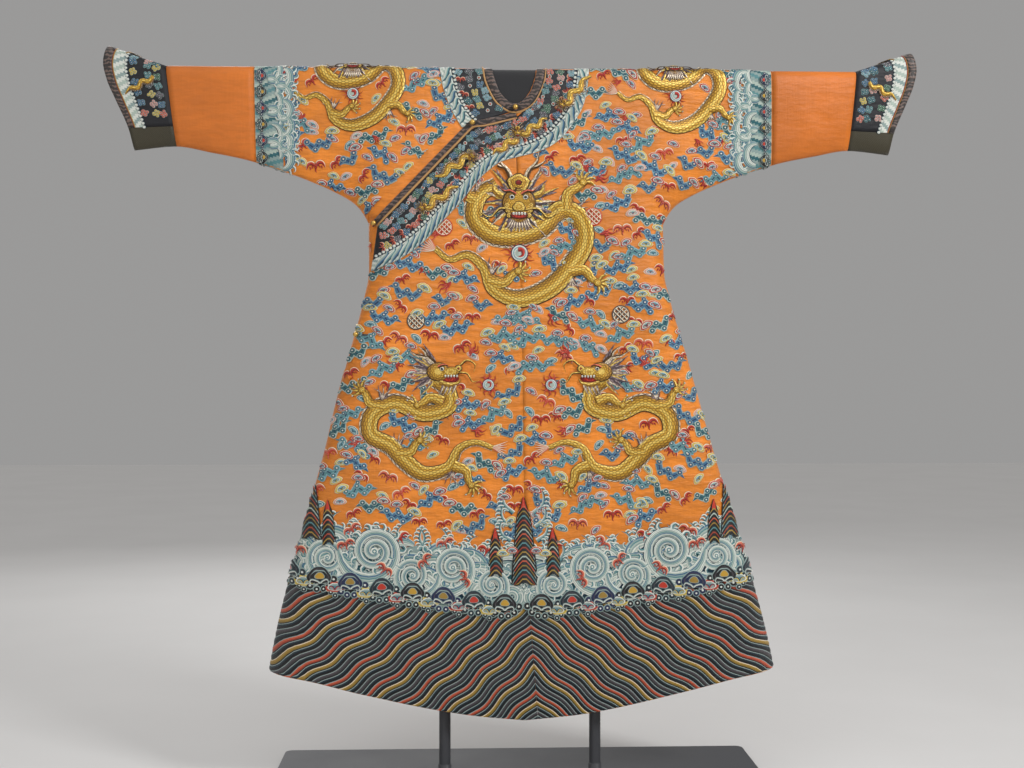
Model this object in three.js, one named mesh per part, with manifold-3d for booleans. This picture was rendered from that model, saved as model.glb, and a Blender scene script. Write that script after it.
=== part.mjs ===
// A dragon robe hung flat on a display stand, in millimetres, Z up, its front towards -Y.
//
// The robe is one surface, folded over at the shoulders: a T-shaped outline in X and Z, whose front and
// back stand apart by a half depth worked out at each point. Every cloth piece is a wall between that
// surface moved out by two amounts, cut to the piece's own outline. "left" is the wearer's left, at +X.

import * as THREE from 'three';
import { mergeVertices } from 'three/addons/utils/BufferGeometryUtils.js';
import Module from 'manifold-3d';

const wasm = await Module();
wasm.setup();

// ---------------------------------------------------------------- sizes of the robe

const SHOULDER_Z = 1570; // the cloth's inner face on top of the form
const GAP = 0.3; // between pieces that touch
const WALL = 1.8; // silk with its backing and embroidery
const BAND = 1.2; // a band sewn on the silk
const BINDING = 1.8; // a stuffed edge: neck band, lapel binding, cuff border
const LEAN_TOP = -13; // the robe hangs a little askew: its middle at the shoulders
const LEAN_HEM = 8; // and at the hem
const REACH = 0.2; // how far a surface runs past the cuff's mouth, as a share of the cuff
const DROP = 24; // and past the hem

// The side seam, from the armpit to below the hem.
const SIDE_SEAM = [
  { z: 1230, half: 322 },
  { z: 1125, half: 323 },
  { z: 1065, half: 335 },
  { z: 930, half: 373 },
  { z: 740, half: 424 },
  { z: 490, half: 496 },
  { z: 340, half: 535 },
  { z: 257, half: 552 },
  { z: 60, half: 586 },
];
// The sleeve's lower edge, from the armpit to the cuff's seam.
const UNDERARM = [
  { x: 322, z: 1230 },
  { x: 333, z: 1251 },
  { x: 351, z: 1273 },
  { x: 382, z: 1293 },
  { x: 450, z: 1324 },
  { x: 522, z: 1350 },
  { x: 592, z: 1371 },
  { x: 662, z: 1385 },
  { x: 738, z: 1398 },
];
const HEM = [
  { x: 0, z: 152 },
  { x: 104, z: 162 },
  { x: 202, z: 178 },
  { x: 337, z: 208 },
  { x: 455, z: 238 },
  { x: 553, z: 257 },
];
// The centre front seam strays from the robe's middle.
const CENTRE_SEAM = [
  { z: 1472, x: 0 },
  { z: 965, x: 7 },
  { z: 708, x: 6 },
  { z: 455, x: 12 },
  { z: 100, x: 32 },
];
const SLEEVE_SEAM_X = 567;
const CUFF_SEAM_HEAD_X = 757;
// The horseshoe cuff's mouth, from its lower corner to its upper one.
const MOUTH = [
  { x: 829, z: 1389 },
  { x: 838, z: 1431 },
  { x: 864, z: 1494 },
  { x: 882, z: 1538 },
  { x: 889, z: 1574 },
  { x: 881, z: 1611 },
];
const UNDER_BAND = { seam: { x: 700, z: 1440 }, mouth: { x: 920, z: 1431 } }; // its upper edge
const CUFF_BORDER = 0.86; // where the border starts, as a share of the cuff from seam to mouth

// Half depths: how far the front stands from the middle plane.
const FOLD_RADIUS = 20; // of the shoulder fold
const SLEEVE_DEPTH = 12; // near the sleeve's lower edge
const HEM_DEPTH = 52; // the skirt's
const DEPTH_GROWTH = 300; // the drop over which the body opens towards it
const EDGE_ROLL = 60; // how far in from a folded edge the full depth is reached
// Soft folds. height is added to the half depth along a line of that length and width.
const FOLDS = [
  { side: 'front', x: -250, z: 1120, turn: 60, length: 190, width: 52, height: 5 },
  { side: 'front', x: 255, z: 1110, turn: -62, length: 200, width: 50, height: 6 },
  { side: 'front', x: 395, z: 1370, turn: -35, length: 130, width: 45, height: 4 },
  { side: 'front', x: -400, z: 1375, turn: 33, length: 140, width: 45, height: 4 },
  { side: 'front', x: -330, z: 520, turn: 80, length: 420, width: 62, height: 7 },
  { side: 'front', x: 120, z: 470, turn: -86, length: 380, width: 66, height: 6 },
  { side: 'front', x: 370, z: 500, turn: -80, length: 400, width: 60, height: 7 },
  { side: 'back', x: -235, z: 1090, turn: 64, length: 210, width: 50, height: 6 },
  { side: 'back', x: 240, z: 1130, turn: -58, length: 180, width: 52, height: 5 },
  { side: 'back', x: -130, z: 480, turn: 86, length: 400, width: 62, height: 7 },
  { side: 'back', x: 290, z: 520, turn: -82, length: 420, width: 60, height: 7 },
];

// ---------------------------------------------------------------- sizes of the trimmings

// The lapel: the overlap's upper edge, from the neck to the wearer's right armpit.
const LAPEL = [[0, 1472], [-69, 1454], [-100, 1450], [-313, 1231]];
const BINDING_WIDTH = 12;
const PIPING_WIDTH = 5;
const UNDERLAP = 25; // how far the right length runs on beneath the overlap
const UNDERLAP_FROM_X = -108; // nearer the neck the two edges meet instead
const STRIP = 8; // the underlap that shows beside the overlap's edge
const STRIP_END_Z = 930; // below this the overlap reaches the side fold
const LIFT = WALL + GAP; // the overlap rides on the underlap by this much
const LIFT_FLAT = 100; // along its edges over this width
const LIFT_END = 210; // and is down on the robe's surface here
const NECK_HALF = 51;
const NECK_FRONT = [[51, 1570], [47, 1548], [34, 1514], [15, 1493], [0, 1488]];
const NECK_BACK = [[51, 1570], [45, 1560], [25, 1554], [0, 1552]];
const NECK_BAND_HALF = 67;
const NECK_BAND_FRONT = [[67, 1570], [61, 1537], [42, 1497], [18, 1477], [0, 1472]];
const NECK_BAND_BACK = [[67, 1570], [60, 1549], [32, 1539], [0, 1536]];
const COLLAR_HALF = 164;
const COLLAR_RIGHT = [[-164, 1570], [-156, 1523], [-141, 1480], [-117, 1432.8]];
const COLLAR_BACK = [[164, 1570], [152, 1522], [108, 1480], [52, 1463], [0, 1458]];
// The collar band's outer edge from the left shoulder, under the neck and along the lapel.
const COLLAR_LEFT = [
  [164, 1570], [157, 1519], [145, 1478], [117, 1435], [86, 1403], [45, 1383], [3, 1372],
  [-31, 1362], [-58, 1344], [-86, 1317], [-124, 1270], [-165, 1227], [-196, 1192],
  [-235, 1160], [-273, 1139], [-315, 1123],
];
const BALL_RADIUS = 6;
// Each ball lies on the middle of its loop, or as far from it as `off` says. `sink` brings it closer
// where the loop bends away beneath it.
const BUTTONS = [
  { name: 'neck', x: 0, z: 1480, turn: 0, off: 0, sink: 0, onBinding: true },
  { name: 'collar', x: -94, z: 1445, turn: 8, off: 0, sink: 0, onBinding: true },
  { name: 'underarm', x: -299, z: 1230, turn: 46, off: 4, sink: 0.6, onBinding: true },
  { name: 'side', x: -336, z: 984, turn: 0, off: 8, sink: 0, onBinding: false },
];
const LOOP = { length: 30, height: 4, thick: 1.2 };
const KNOT = { x: -362, z: 892, length: 12, height: 10, thick: 7, rise: 1 };

// ---------------------------------------------------------------- sizes of the stand

const CLEAR = 0.4; // between the form and the cloth
const BASE = { width: 1090, depth: 530, thick: 8 };
const POST = { x: 165, radius: 12.5 };
const FORM = { half: 232, bottom: 1150 };
const ARM = { end: 735, bottom: 1534 };

// ---------------------------------------------------------------- numbers

const lerp = THREE.MathUtils.lerp;
const smooth = THREE.MathUtils.smoothstep;
const FAR = 2000;

/** The value of column `out` where column `key` of a table of rows equals `at`, by straight lines. */
function lookUp(rows, key, out, at) {
  const rising = rows[0][key] < rows[1][key];
  let k = 1;
  while (k < rows.length - 1 && (rising ? at > rows[k][key] : at < rows[k][key])) k += 1;
  const from = rows[k - 1];
  const to = rows[k];
  return lerp(from[out], to[out], (at - from[key]) / (to[key] - from[key]));
}

const sideHalf = (z) => lookUp(SIDE_SEAM, 'z', 'half', z);
const hemZ = (x) => lookUp(HEM, 'x', 'z', Math.abs(x));
const seamX = (z) => lookUp(CENTRE_SEAM, 'z', 'x', z);
const lean = (z) => lerp(LEAN_TOP, LEAN_HEM, (SHOULDER_Z - z) / (SHOULDER_Z - HEM[0].z));

/** Distance from a point to a polyline, all in X and Z. */
function distanceTo(line, x, z) {
  let least = Infinity;
  for (let k = 1; k < line.length; k += 1) {
    const [ax, az] = line[k - 1];
    const [bx, bz] = line[k];
    const along = ((x - ax) * (bx - ax) + (z - az) * (bz - az)) / ((bx - ax) ** 2 + (bz - az) ** 2);
    const t = THREE.MathUtils.clamp(along, 0, 1);
    least = Math.min(least, Math.hypot(x - lerp(ax, bx, t), z - lerp(az, bz, t)));
  }
  return least;
}

// ---------------------------------------------------------------- the robe's surface

/** 0 at a folded edge, rising as a quarter circle to 1 at `radius` from it. */
const roll = (distance, radius) => Math.sqrt(1 - (1 - Math.min(distance / radius, 1)) ** 2);

const LOWER_EDGE = [
  ...SIDE_SEAM.map(({ z, half }) => [half, z]).reverse(),
  ...UNDERARM.slice(1).map(({ x, z }) => [x, z]),
  [MOUTH[0].x, MOUTH[0].z],
  [2 * MOUTH[0].x - 738, 2 * MOUTH[0].z - 1398],
];

/** How much the soft folds of one side add at a point: a bell along and across each fold's line. */
function foldHeight(side, x, z) {
  let height = 0;
  for (const fold of FOLDS.filter((row) => row.side === side)) {
    const turn = THREE.MathUtils.degToRad(fold.turn);
    const along = (x - fold.x) * Math.cos(turn) + (z - fold.z) * Math.sin(turn);
    const across = (z - fold.z) * Math.cos(turn) - (x - fold.x) * Math.sin(turn);
    height += fold.height * Math.exp(-((along / fold.length) ** 2) - (across / fold.width) ** 2);
  }
  return height;
}

/** Half depth at x, z, `below` down the cloth from the shoulder fold. */
function halfDepth(side, x, z, below) {
  const edge = distanceTo(LOWER_EDGE, Math.abs(x), z);
  if (edge < 1e-6 || below < 1e-6) return 0;
  const body = FOLD_RADIUS + (HEM_DEPTH - FOLD_RADIUS) * (1 - Math.exp(-below / DEPTH_GROWTH));
  const sleeve = lerp(FOLD_RADIUS, SLEEVE_DEPTH, smooth(below, 40, 190));
  const inSleeve = smooth(Math.abs(x), 250, 430) * smooth(z, 1160, 1300);
  const depth = lerp(body, sleeve, inSleeve) + foldHeight(side, x, z);
  return depth * roll(below, FOLD_RADIUS) * roll(edge, EDGE_ROLL);
}

const mouthCurve = new THREE.CatmullRomCurve3(MOUTH.map(({ x, z }) => new THREE.Vector3(x, 0, z)));
const cuffSeam = { foot: UNDERARM[UNDERARM.length - 1], head: { x: CUFF_SEAM_HEAD_X, z: SHOULDER_Z } };

/** A point of the cuff in X and Z: `share` from its seam to its mouth, `up` from its foot to its head. */
function cuffPoint(share, up) {
  const mouth = mouthCurve.getPointAt(up);
  const [x, z] = ['x', 'z'].map((axis) => lerp(cuffSeam.foot[axis], cuffSeam.head[axis], up));
  return [lerp(x, mouth.x, share), lerp(z, mouth.z, share)];
}

const BODY_SHARES = [0, 0.14, 0.28, 0.42, 0.56, 0.69, 0.8, 0.89, 0.96, 1];
const CUFF_SHARES = [0.33, 0.67, 1];
const SKIRT_ROWS = 11;

/** The shares of a column's length at which its points lie, closer together near both ends. */
function rowShares(length) {
  const low = [0, 7, 30];
  const high = [length - 30, length - 11, length - 3, length];
  const middle = [0.33, 0.67].map((t) => lerp(low[2], high[0], t));
  return [...low, ...middle, ...high].map((distance) => distance / length);
}

/** A column of points from foot to head: each has x, z and how far it lies below the fold. */
function column(foot, head, pointAt) {
  const length = Math.hypot(head[0] - foot[0], head[1] - foot[1]);
  return rowShares(length).map((up) => {
    const [x, z] = pointAt(up);
    return { x, z, below: length * (1 - up) };
  });
}

/** The columns of the wearer's left half of the upper robe, from its middle to past the cuff's mouth. */
function upperColumns(reach) {
  const straight = (footX, footZ, headX) => {
    const pointAt = (up) => [lerp(footX, headX, up), lerp(footZ, SHOULDER_Z, up)];
    return column([footX, footZ], [headX, SHOULDER_Z], pointAt);
  };
  const armpit = UNDERARM[0];
  const slant = CUFF_SEAM_HEAD_X - cuffSeam.foot.x;
  const headShift = (x) => slant * smooth(x, SLEEVE_SEAM_X, cuffSeam.foot.x);
  return [
    ...BODY_SHARES.map((share) => straight(share * armpit.x, armpit.z, share * armpit.x)),
    ...UNDERARM.slice(1).map(({ x, z }) => straight(x, z, x + headShift(x))),
    ...[...CUFF_SHARES, 1 + reach].map((share) =>
      column(cuffPoint(share, 0), cuffPoint(share, 1), (up) => cuffPoint(share, up))),
  ];
}

/** The columns of the skirt's left half, from the armpit's level down to past the hem. */
function skirtColumns(drop) {
  const top = UNDERARM[0].z;
  return BODY_SHARES.map((share) => {
    const bottom = hemZ(share * HEM[HEM.length - 1].x);
    const heights = Array.from({ length: SKIRT_ROWS + 1 }, (_, row) => lerp(top, bottom, row / SKIRT_ROWS));
    return [...heights, bottom - drop].map((z) => ({ x: share * sideHalf(z), z, below: SHOULDER_Z - z }));
  });
}

/** Both halves of a set of columns, from the wearer's right to the left. */
function bothHalves(columns) {
  const mirrored = columns.slice(1).map((points) => points.map((p) => ({ ...p, x: -p.x })));
  return [...mirrored.reverse(), ...columns];
}

/** The closed surface of the whole robe, run past its cuffs and hem, as a merged geometry with normals. */
function robeSurface(reach, drop) {
  const place = (side, { x, z, below }) => {
    const depth = halfDepth(side, x, z, below);
    return new THREE.Vector3(x + lean(z), side === 'front' ? -depth : depth, z);
  };
  const positions = [];
  const triangle = (...corners) => {
    const [a, b, c] = corners;
    if (a.equals(b) || b.equals(c) || a.equals(c)) return;
    corners.forEach((corner) => positions.push(corner.x, corner.y, corner.z));
  };
  const quad = (a, b, c, d) => {
    triangle(a, b, c);
    triangle(a, c, d);
  };
  const sheet = (columns, rising) => {
    const front = columns.map((points) => points.map((p) => place('front', p)));
    const back = columns.map((points) => points.map((p) => place('back', p)));
    for (let i = 1; i < columns.length; i += 1) {
      for (let j = 1; j < columns[i].length; j += 1) {
        const [low, high] = rising ? [j - 1, j] : [j, j - 1];
        quad(front[i - 1][low], front[i][low], front[i][high], front[i - 1][high]);
        quad(back[i][low], back[i - 1][low], back[i - 1][high], back[i][high]);
      }
    }
    return { front, back };
  };
  const upper = sheet(bothHalves(upperColumns(reach)), true);
  const skirt = sheet(bothHalves(skirtColumns(drop)), false);
  const last = upper.front.length - 1;
  for (let j = 1; j < upper.front[0].length; j += 1) {
    quad(upper.front[last][j - 1], upper.back[last][j - 1], upper.back[last][j], upper.front[last][j]);
    quad(upper.back[0][j - 1], upper.front[0][j - 1], upper.front[0][j], upper.back[0][j]);
  }
  for (let i = 1; i < skirt.front.length; i += 1) {
    const end = SKIRT_ROWS + 1;
    quad(skirt.front[i - 1][end], skirt.back[i - 1][end], skirt.back[i][end], skirt.front[i][end]);
  }
  const soup = new THREE.BufferGeometry();
  soup.setAttribute('position', new THREE.Float32BufferAttribute(positions, 3));
  const merged = mergeVertices(soup, 1e-4);
  merged.computeVertexNormals();
  return merged;
}

/** The lapel and the overlap's side edge, where it lies on the underlap. */
const LAP_EDGE = [...LAPEL, [-sideHalf(1125), 1125], [-sideHalf(STRIP_END_Z), STRIP_END_Z]];

/** How far the overlap is lifted off the robe's surface at a point of the front. */
function lapLift(x, z) {
  const nearEdge = 1 - smooth(distanceTo(LAP_EDGE, x, z), LIFT_FLAT, LIFT_END);
  const awayFromSeam = smooth(seamX(z) - x, 0, 80);
  return LIFT * nearEdge * awayFromSeam;
}

// ---------------------------------------------------------------- solids

/** A manifold from a closed geometry. */
function toManifold(geometry) {
  const bare = geometry.clone();
  bare.deleteAttribute('normal');
  bare.deleteAttribute('uv');
  const merged = mergeVertices(bare, 1e-4);
  return new wasm.Manifold(new wasm.Mesh({
    numProp: 3,
    vertProperties: Float32Array.from(merged.attributes.position.array),
    triVerts: Uint32Array.from(merged.index.array),
  }));
}

function toGeometry(manifold) {
  const mesh = manifold.getMesh();
  const geometry = new THREE.BufferGeometry();
  geometry.setAttribute('position', new THREE.BufferAttribute(Float32Array.from(mesh.vertProperties), 3));
  geometry.setIndex(new THREE.BufferAttribute(Uint32Array.from(mesh.triVerts), 1));
  geometry.computeVertexNormals();
  return geometry;
}

/** The robe's surface moved out along its normals, and further by the lift where that is asked for. */
function robeMovedOut(surface, distance, lifted) {
  const { position, normal } = surface.attributes;
  const moved = surface.clone();
  for (let k = 0; k < position.count; k += 1) {
    const [x, y, z] = [position.getX(k), position.getY(k), position.getZ(k)];
    const out = distance + (lifted && y < 1 ? lapLift(x - lean(z), z) : 0);
    moved.attributes.position.setXYZ(
      k,
      x + normal.getX(k) * out,
      y + normal.getY(k) * out,
      z + normal.getZ(k) * out,
    );
  }
  return toManifold(moved);
}

const shortSurface = robeSurface(REACH, DROP);
const longSurface = robeSurface(2 * REACH, 2 * DROP);

/** The wall between the robe's surface moved out by `from` and by `to`, open at the cuffs and hem. */
function wall(from, to, lifted = false) {
  return robeMovedOut(shortSurface, to, lifted).subtract(robeMovedOut(longSurface, from, lifted));
}

/** A prism along Y with this outline in X and Z, which leans as the robe does unless told otherwise. */
function prism(outline, fromY, toY, leaning = true) {
  const corners = outline.map(([x, z]) => new THREE.Vector2(x + (leaning ? lean(z) : 0), z));
  const extrusion = { depth: toY - fromY, bevelEnabled: false };
  const geometry = new THREE.ExtrudeGeometry(new THREE.Shape(corners), extrusion);
  geometry.rotateX(Math.PI / 2);
  geometry.translate(0, toY, 0);
  return toManifold(geometry);
}

const front = (outline, toY = 0) => prism(outline, -200, toY);
const back = (outline, fromY = 0) => prism(outline, fromY, 200);
const frontOnly = (outline) => front(outline, -GAP / 2);
const through = (outline) => prism(outline, -200, 200);

// ---------------------------------------------------------------- outlines

const mirror = (line) => line.map(([x, z]) => [-x, z]);
const reversed = (line) => [...line].reverse();

/** A smooth line of `count` stretches through some points. */
function curved(points, count) {
  const curve = new THREE.SplineCurve(points.map(([x, z]) => new THREE.Vector2(x, z)));
  return curve.getPoints(count).map((p) => [p.x, p.y]);
}

/** A line moved sideways, to the left of its direction, with mitred corners. */
function beside(line, distance) {
  return line.map(([x, z], k) => {
    const [px, pz] = line[Math.max(k - 1, 0)];
    const [nx, nz] = line[Math.min(k + 1, line.length - 1)];
    const before = new THREE.Vector2(x - px, z - pz).normalize();
    const after = new THREE.Vector2(nx - x, nz - z).normalize();
    const along = before.add(after).normalize();
    return [x - along.y * distance, z + along.x * distance];
  });
}

/** A U-shaped outline, open upwards: a half-line from (half, top) to the middle, and its mirror image. */
function hanging(half, line) {
  const edge = curved(line, 6);
  return [[half, FAR], ...edge, ...reversed(mirror(edge)).slice(1), [-half, FAR]];
}

/** The height of the straight line through two points, at x. */
const heightAt = ([ax, az], [bx, bz], x) => lerp(az, bz, (x - ax) / (bx - ax));

const hemLine = HEM.map(({ x, z }) => [x, z]);

/** The centre front seam from the neck to the hem, moved to one side of the true line. */
function seamLine(shift) {
  const rows = CENTRE_SEAM.slice(0, -1).map(({ z, x }) => [x + shift, z]);
  const foot = seamX(HEM[0].z);
  return [...rows, [foot + shift, hemZ(foot)]];
}

/** The outline of the left length's front or back, from a line near the middle to the sleeve's seam. */
function leftLength(middle) {
  const [footX] = middle[middle.length - 1];
  const outer = SLEEVE_SEAM_X - GAP / 2;
  const hem = hemLine.filter(([x]) => x > footX + 5);
  return [[middle[0][0], FAR], ...middle, ...hem, [outer, HEM[HEM.length - 1].z], [outer, FAR]];
}

/** The overlap's outline: lapel, side edge, hem and centre seam. */
function overlap() {
  const sideEdge = [1125, 1065, STRIP_END_Z].map((z) => [STRIP - sideHalf(z), z]);
  const hem = reversed(mirror(hemLine));
  const outer = -SLEEVE_SEAM_X;
  return [
    ...LAPEL.slice(1),
    ...sideEdge,
    [outer, STRIP_END_Z],
    [outer, hem[0][1]],
    ...hem,
    ...reversed(seamLine(-GAP / 2)),
  ];
}

/** The right length's front: what lies above the lapel, with its margin beneath the overlap. */
function rightLengthFront() {
  const edge = beside(LAPEL, -GAP);
  const margin = beside(LAPEL, UNDERLAP);
  const outer = -SLEEVE_SEAM_X + GAP / 2;
  const inwards = STRIP + UNDERLAP;
  const marginEndX = inwards - sideHalf(1230);
  const strip = [1125, 1065, STRIP_END_Z + GAP].map((z) => [inwards - sideHalf(z), z]);
  return [
    [-GAP, FAR],
    ...edge.slice(0, 3),
    [UNDERLAP_FROM_X, heightAt(edge[2], edge[3], UNDERLAP_FROM_X)],
    [UNDERLAP_FROM_X, heightAt(margin[2], margin[3], UNDERLAP_FROM_X)],
    [marginEndX, heightAt(margin[2], margin[3], marginEndX)],
    ...strip,
    [outer, STRIP_END_Z + GAP],
    [outer, FAR],
  ];
}

/** A strip that runs beside the lapel, from one distance below its edge to another. */
const besideLapel = (from, to) => [...beside(LAPEL, from), ...reversed(beside(LAPEL, to))];

/** The collar band from the left shoulder, under the neck and along the lapel to the side edge. */
function collarLeft() {
  const inner = beside(LAPEL, BINDING_WIDTH + PIPING_WIDTH + 2 * GAP);
  const [endX] = COLLAR_LEFT[COLLAR_LEFT.length - 1];
  return [
    [COLLAR_HALF, FAR],
    ...curved(COLLAR_LEFT, 24),
    [endX, heightAt(inner[2], inner[3], endX)],
    ...reversed(inner.slice(0, 3)),
    [GAP, LAPEL[0][1]],
    [GAP, FAR],
  ];
}

/** The collar band on the right shoulder, which ends at the overlap's edge. */
function collarRight() {
  const edge = beside(LAPEL, -GAP);
  return [[-COLLAR_HALF, FAR], ...curved(COLLAR_RIGHT, 6), ...reversed(edge.slice(0, 3)), [-GAP, FAR]];
}

/** A line across the cuff at a share of its width, run on past its foot and head. */
function acrossCuff(share) {
  const line = [0, 0.2, 0.4, 0.6, 0.8, 1].map((up) => cuffPoint(share, up));
  const past = ([ax, az], [bx, bz]) => [bx + 0.6 * (bx - ax), bz + 0.6 * (bz - az)];
  return [past(line[1], line[0]), ...line, past(line[4], line[5])];
}

/** The part of the cuff between two shares of its width, shrunk by half a gap where it meets the sleeve. */
const cuffStrip = (from, to) => [
  ...acrossCuff(from).map(([x, z]) => [x + GAP / 2, z]),
  ...reversed(acrossCuff(to)),
];

/** Everything above or below the upper edge of the olive pieces under the cuffs. */
function besideUnderBand(above) {
  const { seam, mouth } = UNDER_BAND;
  const shift = above ? GAP / 2 : -GAP / 2;
  const end = above ? FAR : 1000;
  return [[seam.x, seam.z + shift], [mouth.x, mouth.z + shift], [mouth.x, end], [seam.x, end]];
}

/** The sleeve extension, between its seam and the cuff's. */
function sleeve() {
  const { foot, head } = cuffSeam;
  const seamAt = (z) => lerp(foot.x, head.x, (z - foot.z) / (head.z - foot.z)) - GAP / 2;
  const inner = SLEEVE_SEAM_X + GAP / 2;
  return [[inner, 1700], [inner, 1300], [seamAt(1300), 1300], [seamAt(1700), 1700]];
}

// ---------------------------------------------------------------- meshes

const materials = {
  satin: { color: 0xd8752a, roughness: 0.45, metalness: 0 },
  brocade: { color: 0x22242c, roughness: 0.6, metalness: 0 },
  border: { color: 0x5a4a44, roughness: 0.6, metalness: 0 },
  olive: { color: 0x5a5020, roughness: 0.5, metalness: 0 },
  piping: { color: 0xb08a48, roughness: 0.4, metalness: 0.3 },
  gilt: { color: 0xc89a4a, roughness: 0.25, metalness: 1 },
  cord: { color: 0x2c2222, roughness: 0.7, metalness: 0 },
  form: { color: 0x151517, roughness: 0.85, metalness: 0 },
  paint: { color: 0x2a2b2e, roughness: 0.5, metalness: 0 },
};

const robe = new THREE.Group();

function addMesh(name, geometry, finish) {
  const mesh = new THREE.Mesh(geometry, new THREE.MeshStandardMaterial(materials[finish]));
  mesh.name = name;
  robe.add(mesh);
}

/** Adds a piece cut from a wall, on the wearer's left as drawn and on the right mirrored. */
function addPair(name, outline, from, to, finish, ...within) {
  for (const [side, flip] of [['left', (line) => line], ['right', mirror]]) {
    let piece = wall(from, to).intersect(through(flip(outline)));
    for (const region of within) piece = piece.intersect(through(flip(region)));
    addMesh(`${name}_${side}`, toGeometry(piece), finish);
  }
}

const cloth = wall(0, WALL);
const lappedCloth = wall(0, WALL, true);
const band = wall(WALL + GAP, WALL + GAP + BAND);
const lappedBand = wall(WALL + GAP, WALL + GAP + BAND, true);
const binding = wall(WALL + GAP, WALL + GAP + BINDING);
const lappedBinding = wall(WALL + GAP, WALL + GAP + BINDING, true);

// The body: two lengths over the shoulders, and the overlap.
const neckHole = front(hanging(NECK_HALF, NECK_FRONT)).add(back(hanging(NECK_HALF, NECK_BACK)));
const backMiddle = [[GAP / 2, SHOULDER_Z], [GAP / 2, HEM[0].z]];
const leftPrism = front(leftLength(seamLine(GAP / 2))).add(back(leftLength(backMiddle)));
const rightPrism = front(rightLengthFront()).add(back(mirror(leftLength(backMiddle))));
addMesh('body_left', toGeometry(cloth.intersect(leftPrism).subtract(neckHole)), 'satin');
addMesh('body_right', toGeometry(cloth.intersect(rightPrism).subtract(neckHole)), 'satin');
addMesh('front_overlap', toGeometry(lappedCloth.intersect(frontOnly(overlap()))), 'satin');

// The sleeves and cuffs.
addPair('sleeve', sleeve(), 0, WALL, 'satin');
addPair('cuff', cuffStrip(0, 1), 0, WALL, 'brocade', besideUnderBand(true));
addPair('cuff_under', cuffStrip(0, 1), 0, WALL, 'olive', besideUnderBand(false));
const borderEdge = cuffStrip(CUFF_BORDER, 1);
addPair('cuff_border', borderEdge, WALL + GAP, WALL + GAP + BINDING, 'border', besideUnderBand(true));

// The collar and the neck band.
const grown = (line) => line.map(([x, z]) => [x + (x > 0 ? GAP : 0), z - GAP]);
const bandHole = front(hanging(NECK_BAND_HALF + GAP, grown(NECK_BAND_FRONT)))
  .add(back(hanging(NECK_BAND_HALF + GAP, grown(NECK_BAND_BACK))));
const neckBand = front(hanging(NECK_BAND_HALF, NECK_BAND_FRONT))
  .add(back(hanging(NECK_BAND_HALF, NECK_BAND_BACK)))
  .subtract(neckHole);
const collarBack = back(hanging(COLLAR_HALF, COLLAR_BACK), GAP / 2);
const leftBand = lappedBand.intersect(frontOnly(collarLeft()));
const rightBand = band.intersect(frontOnly(collarRight()));
addMesh('collar_left', toGeometry(leftBand.subtract(bandHole)), 'brocade');
addMesh('collar_right', toGeometry(rightBand.subtract(bandHole)), 'brocade');
addMesh('collar_back', toGeometry(band.intersect(collarBack).subtract(bandHole)), 'brocade');
addMesh('neck_band', toGeometry(binding.intersect(neckBand)), 'border');
const bindingEdge = besideLapel(0, BINDING_WIDTH);
const pipingEdge = besideLapel(BINDING_WIDTH + GAP, BINDING_WIDTH + GAP + PIPING_WIDTH);
addMesh('lapel_binding', toGeometry(lappedBinding.intersect(frontOnly(bindingEdge))), 'border');
addMesh('lapel_piping', toGeometry(lappedBand.intersect(frontOnly(pipingEdge))), 'piping');

// The buttons.

/** The point of the front's faceted surface at x, z of the unleaned robe, and its outward direction. */
function frontPoint(x, z) {
  const { position, normal } = shortSurface.attributes;
  const index = shortSurface.index.array;
  const at = new THREE.Vector3(x + lean(z), z, 0);
  const corners = [0, 1, 2].map(() => new THREE.Vector3());
  const shares = new THREE.Vector3();
  for (let k = 0; k < index.length; k += 3) {
    const three = [index[k], index[k + 1], index[k + 2]];
    corners.forEach((corner, n) => corner.set(position.getX(three[n]), position.getZ(three[n]), 0));
    const inFront = three.every((n) => position.getY(n) < 1e-3);
    const within = THREE.Triangle.getBarycoord(at, ...corners, shares) && Math.min(...shares) >= 0;
    if (inFront && within) {
      const mix = (source) => three.reduce((sum, n, place) => {
        const corner = new THREE.Vector3().fromBufferAttribute(source, n);
        return sum.addScaledVector(corner, shares.getComponent(place));
      }, new THREE.Vector3());
      return { point: mix(position), out: mix(normal).normalize() };
    }
  }
  throw new Error(`no cloth at ${x}, ${z}`);
}

/** A bar with round ends, centred at x, z and turned from the X axis. */
function bar(x, z, length, height, turn) {
  const angle = THREE.MathUtils.degToRad(turn);
  const corners = [];
  for (const end of [1, -1]) {
    for (let k = 0; k <= 4; k += 1) {
      const around = (k / 4 - 0.5) * Math.PI + (end > 0 ? 0 : Math.PI);
      const u = end * (length - height) / 2 + (height / 2) * Math.cos(around);
      const v = (height / 2) * Math.sin(around);
      const corner = new THREE.Vector2(u, v).rotateAround(new THREE.Vector2(), angle);
      corners.push([x + corner.x, z + corner.y]);
    }
  }
  return corners;
}

for (const { name, x, z, turn, off, sink, onBinding } of BUTTONS) {
  const seat = WALL + GAP + (onBinding ? BINDING + GAP : 0);
  const outline = bar(x, z, LOOP.length, LOOP.height, turn);
  const loop = wall(seat, seat + LOOP.thick, true).intersect(frontOnly(outline));
  addMesh(`loop_${name}`, toGeometry(loop), 'cord');
  const angle = THREE.MathUtils.degToRad(turn);
  const [ballX, ballZ] = [x - off * Math.cos(angle), z - off * Math.sin(angle)];
  const { point, out } = frontPoint(ballX, ballZ);
  const distance = seat + lapLift(ballX, ballZ) + LOOP.thick + GAP + BALL_RADIUS - sink;
  const ball = new THREE.SphereGeometry(BALL_RADIUS, 12, 8);
  ball.translate(...point.addScaledVector(out, distance).toArray());
  addMesh(`button_${name}`, ball, 'gilt');
}
const knotSeat = frontPoint(KNOT.x, KNOT.z);
const knot = new THREE.SphereGeometry(0.5, 12, 8);
knot.scale(KNOT.length, KNOT.thick, KNOT.height);
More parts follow.
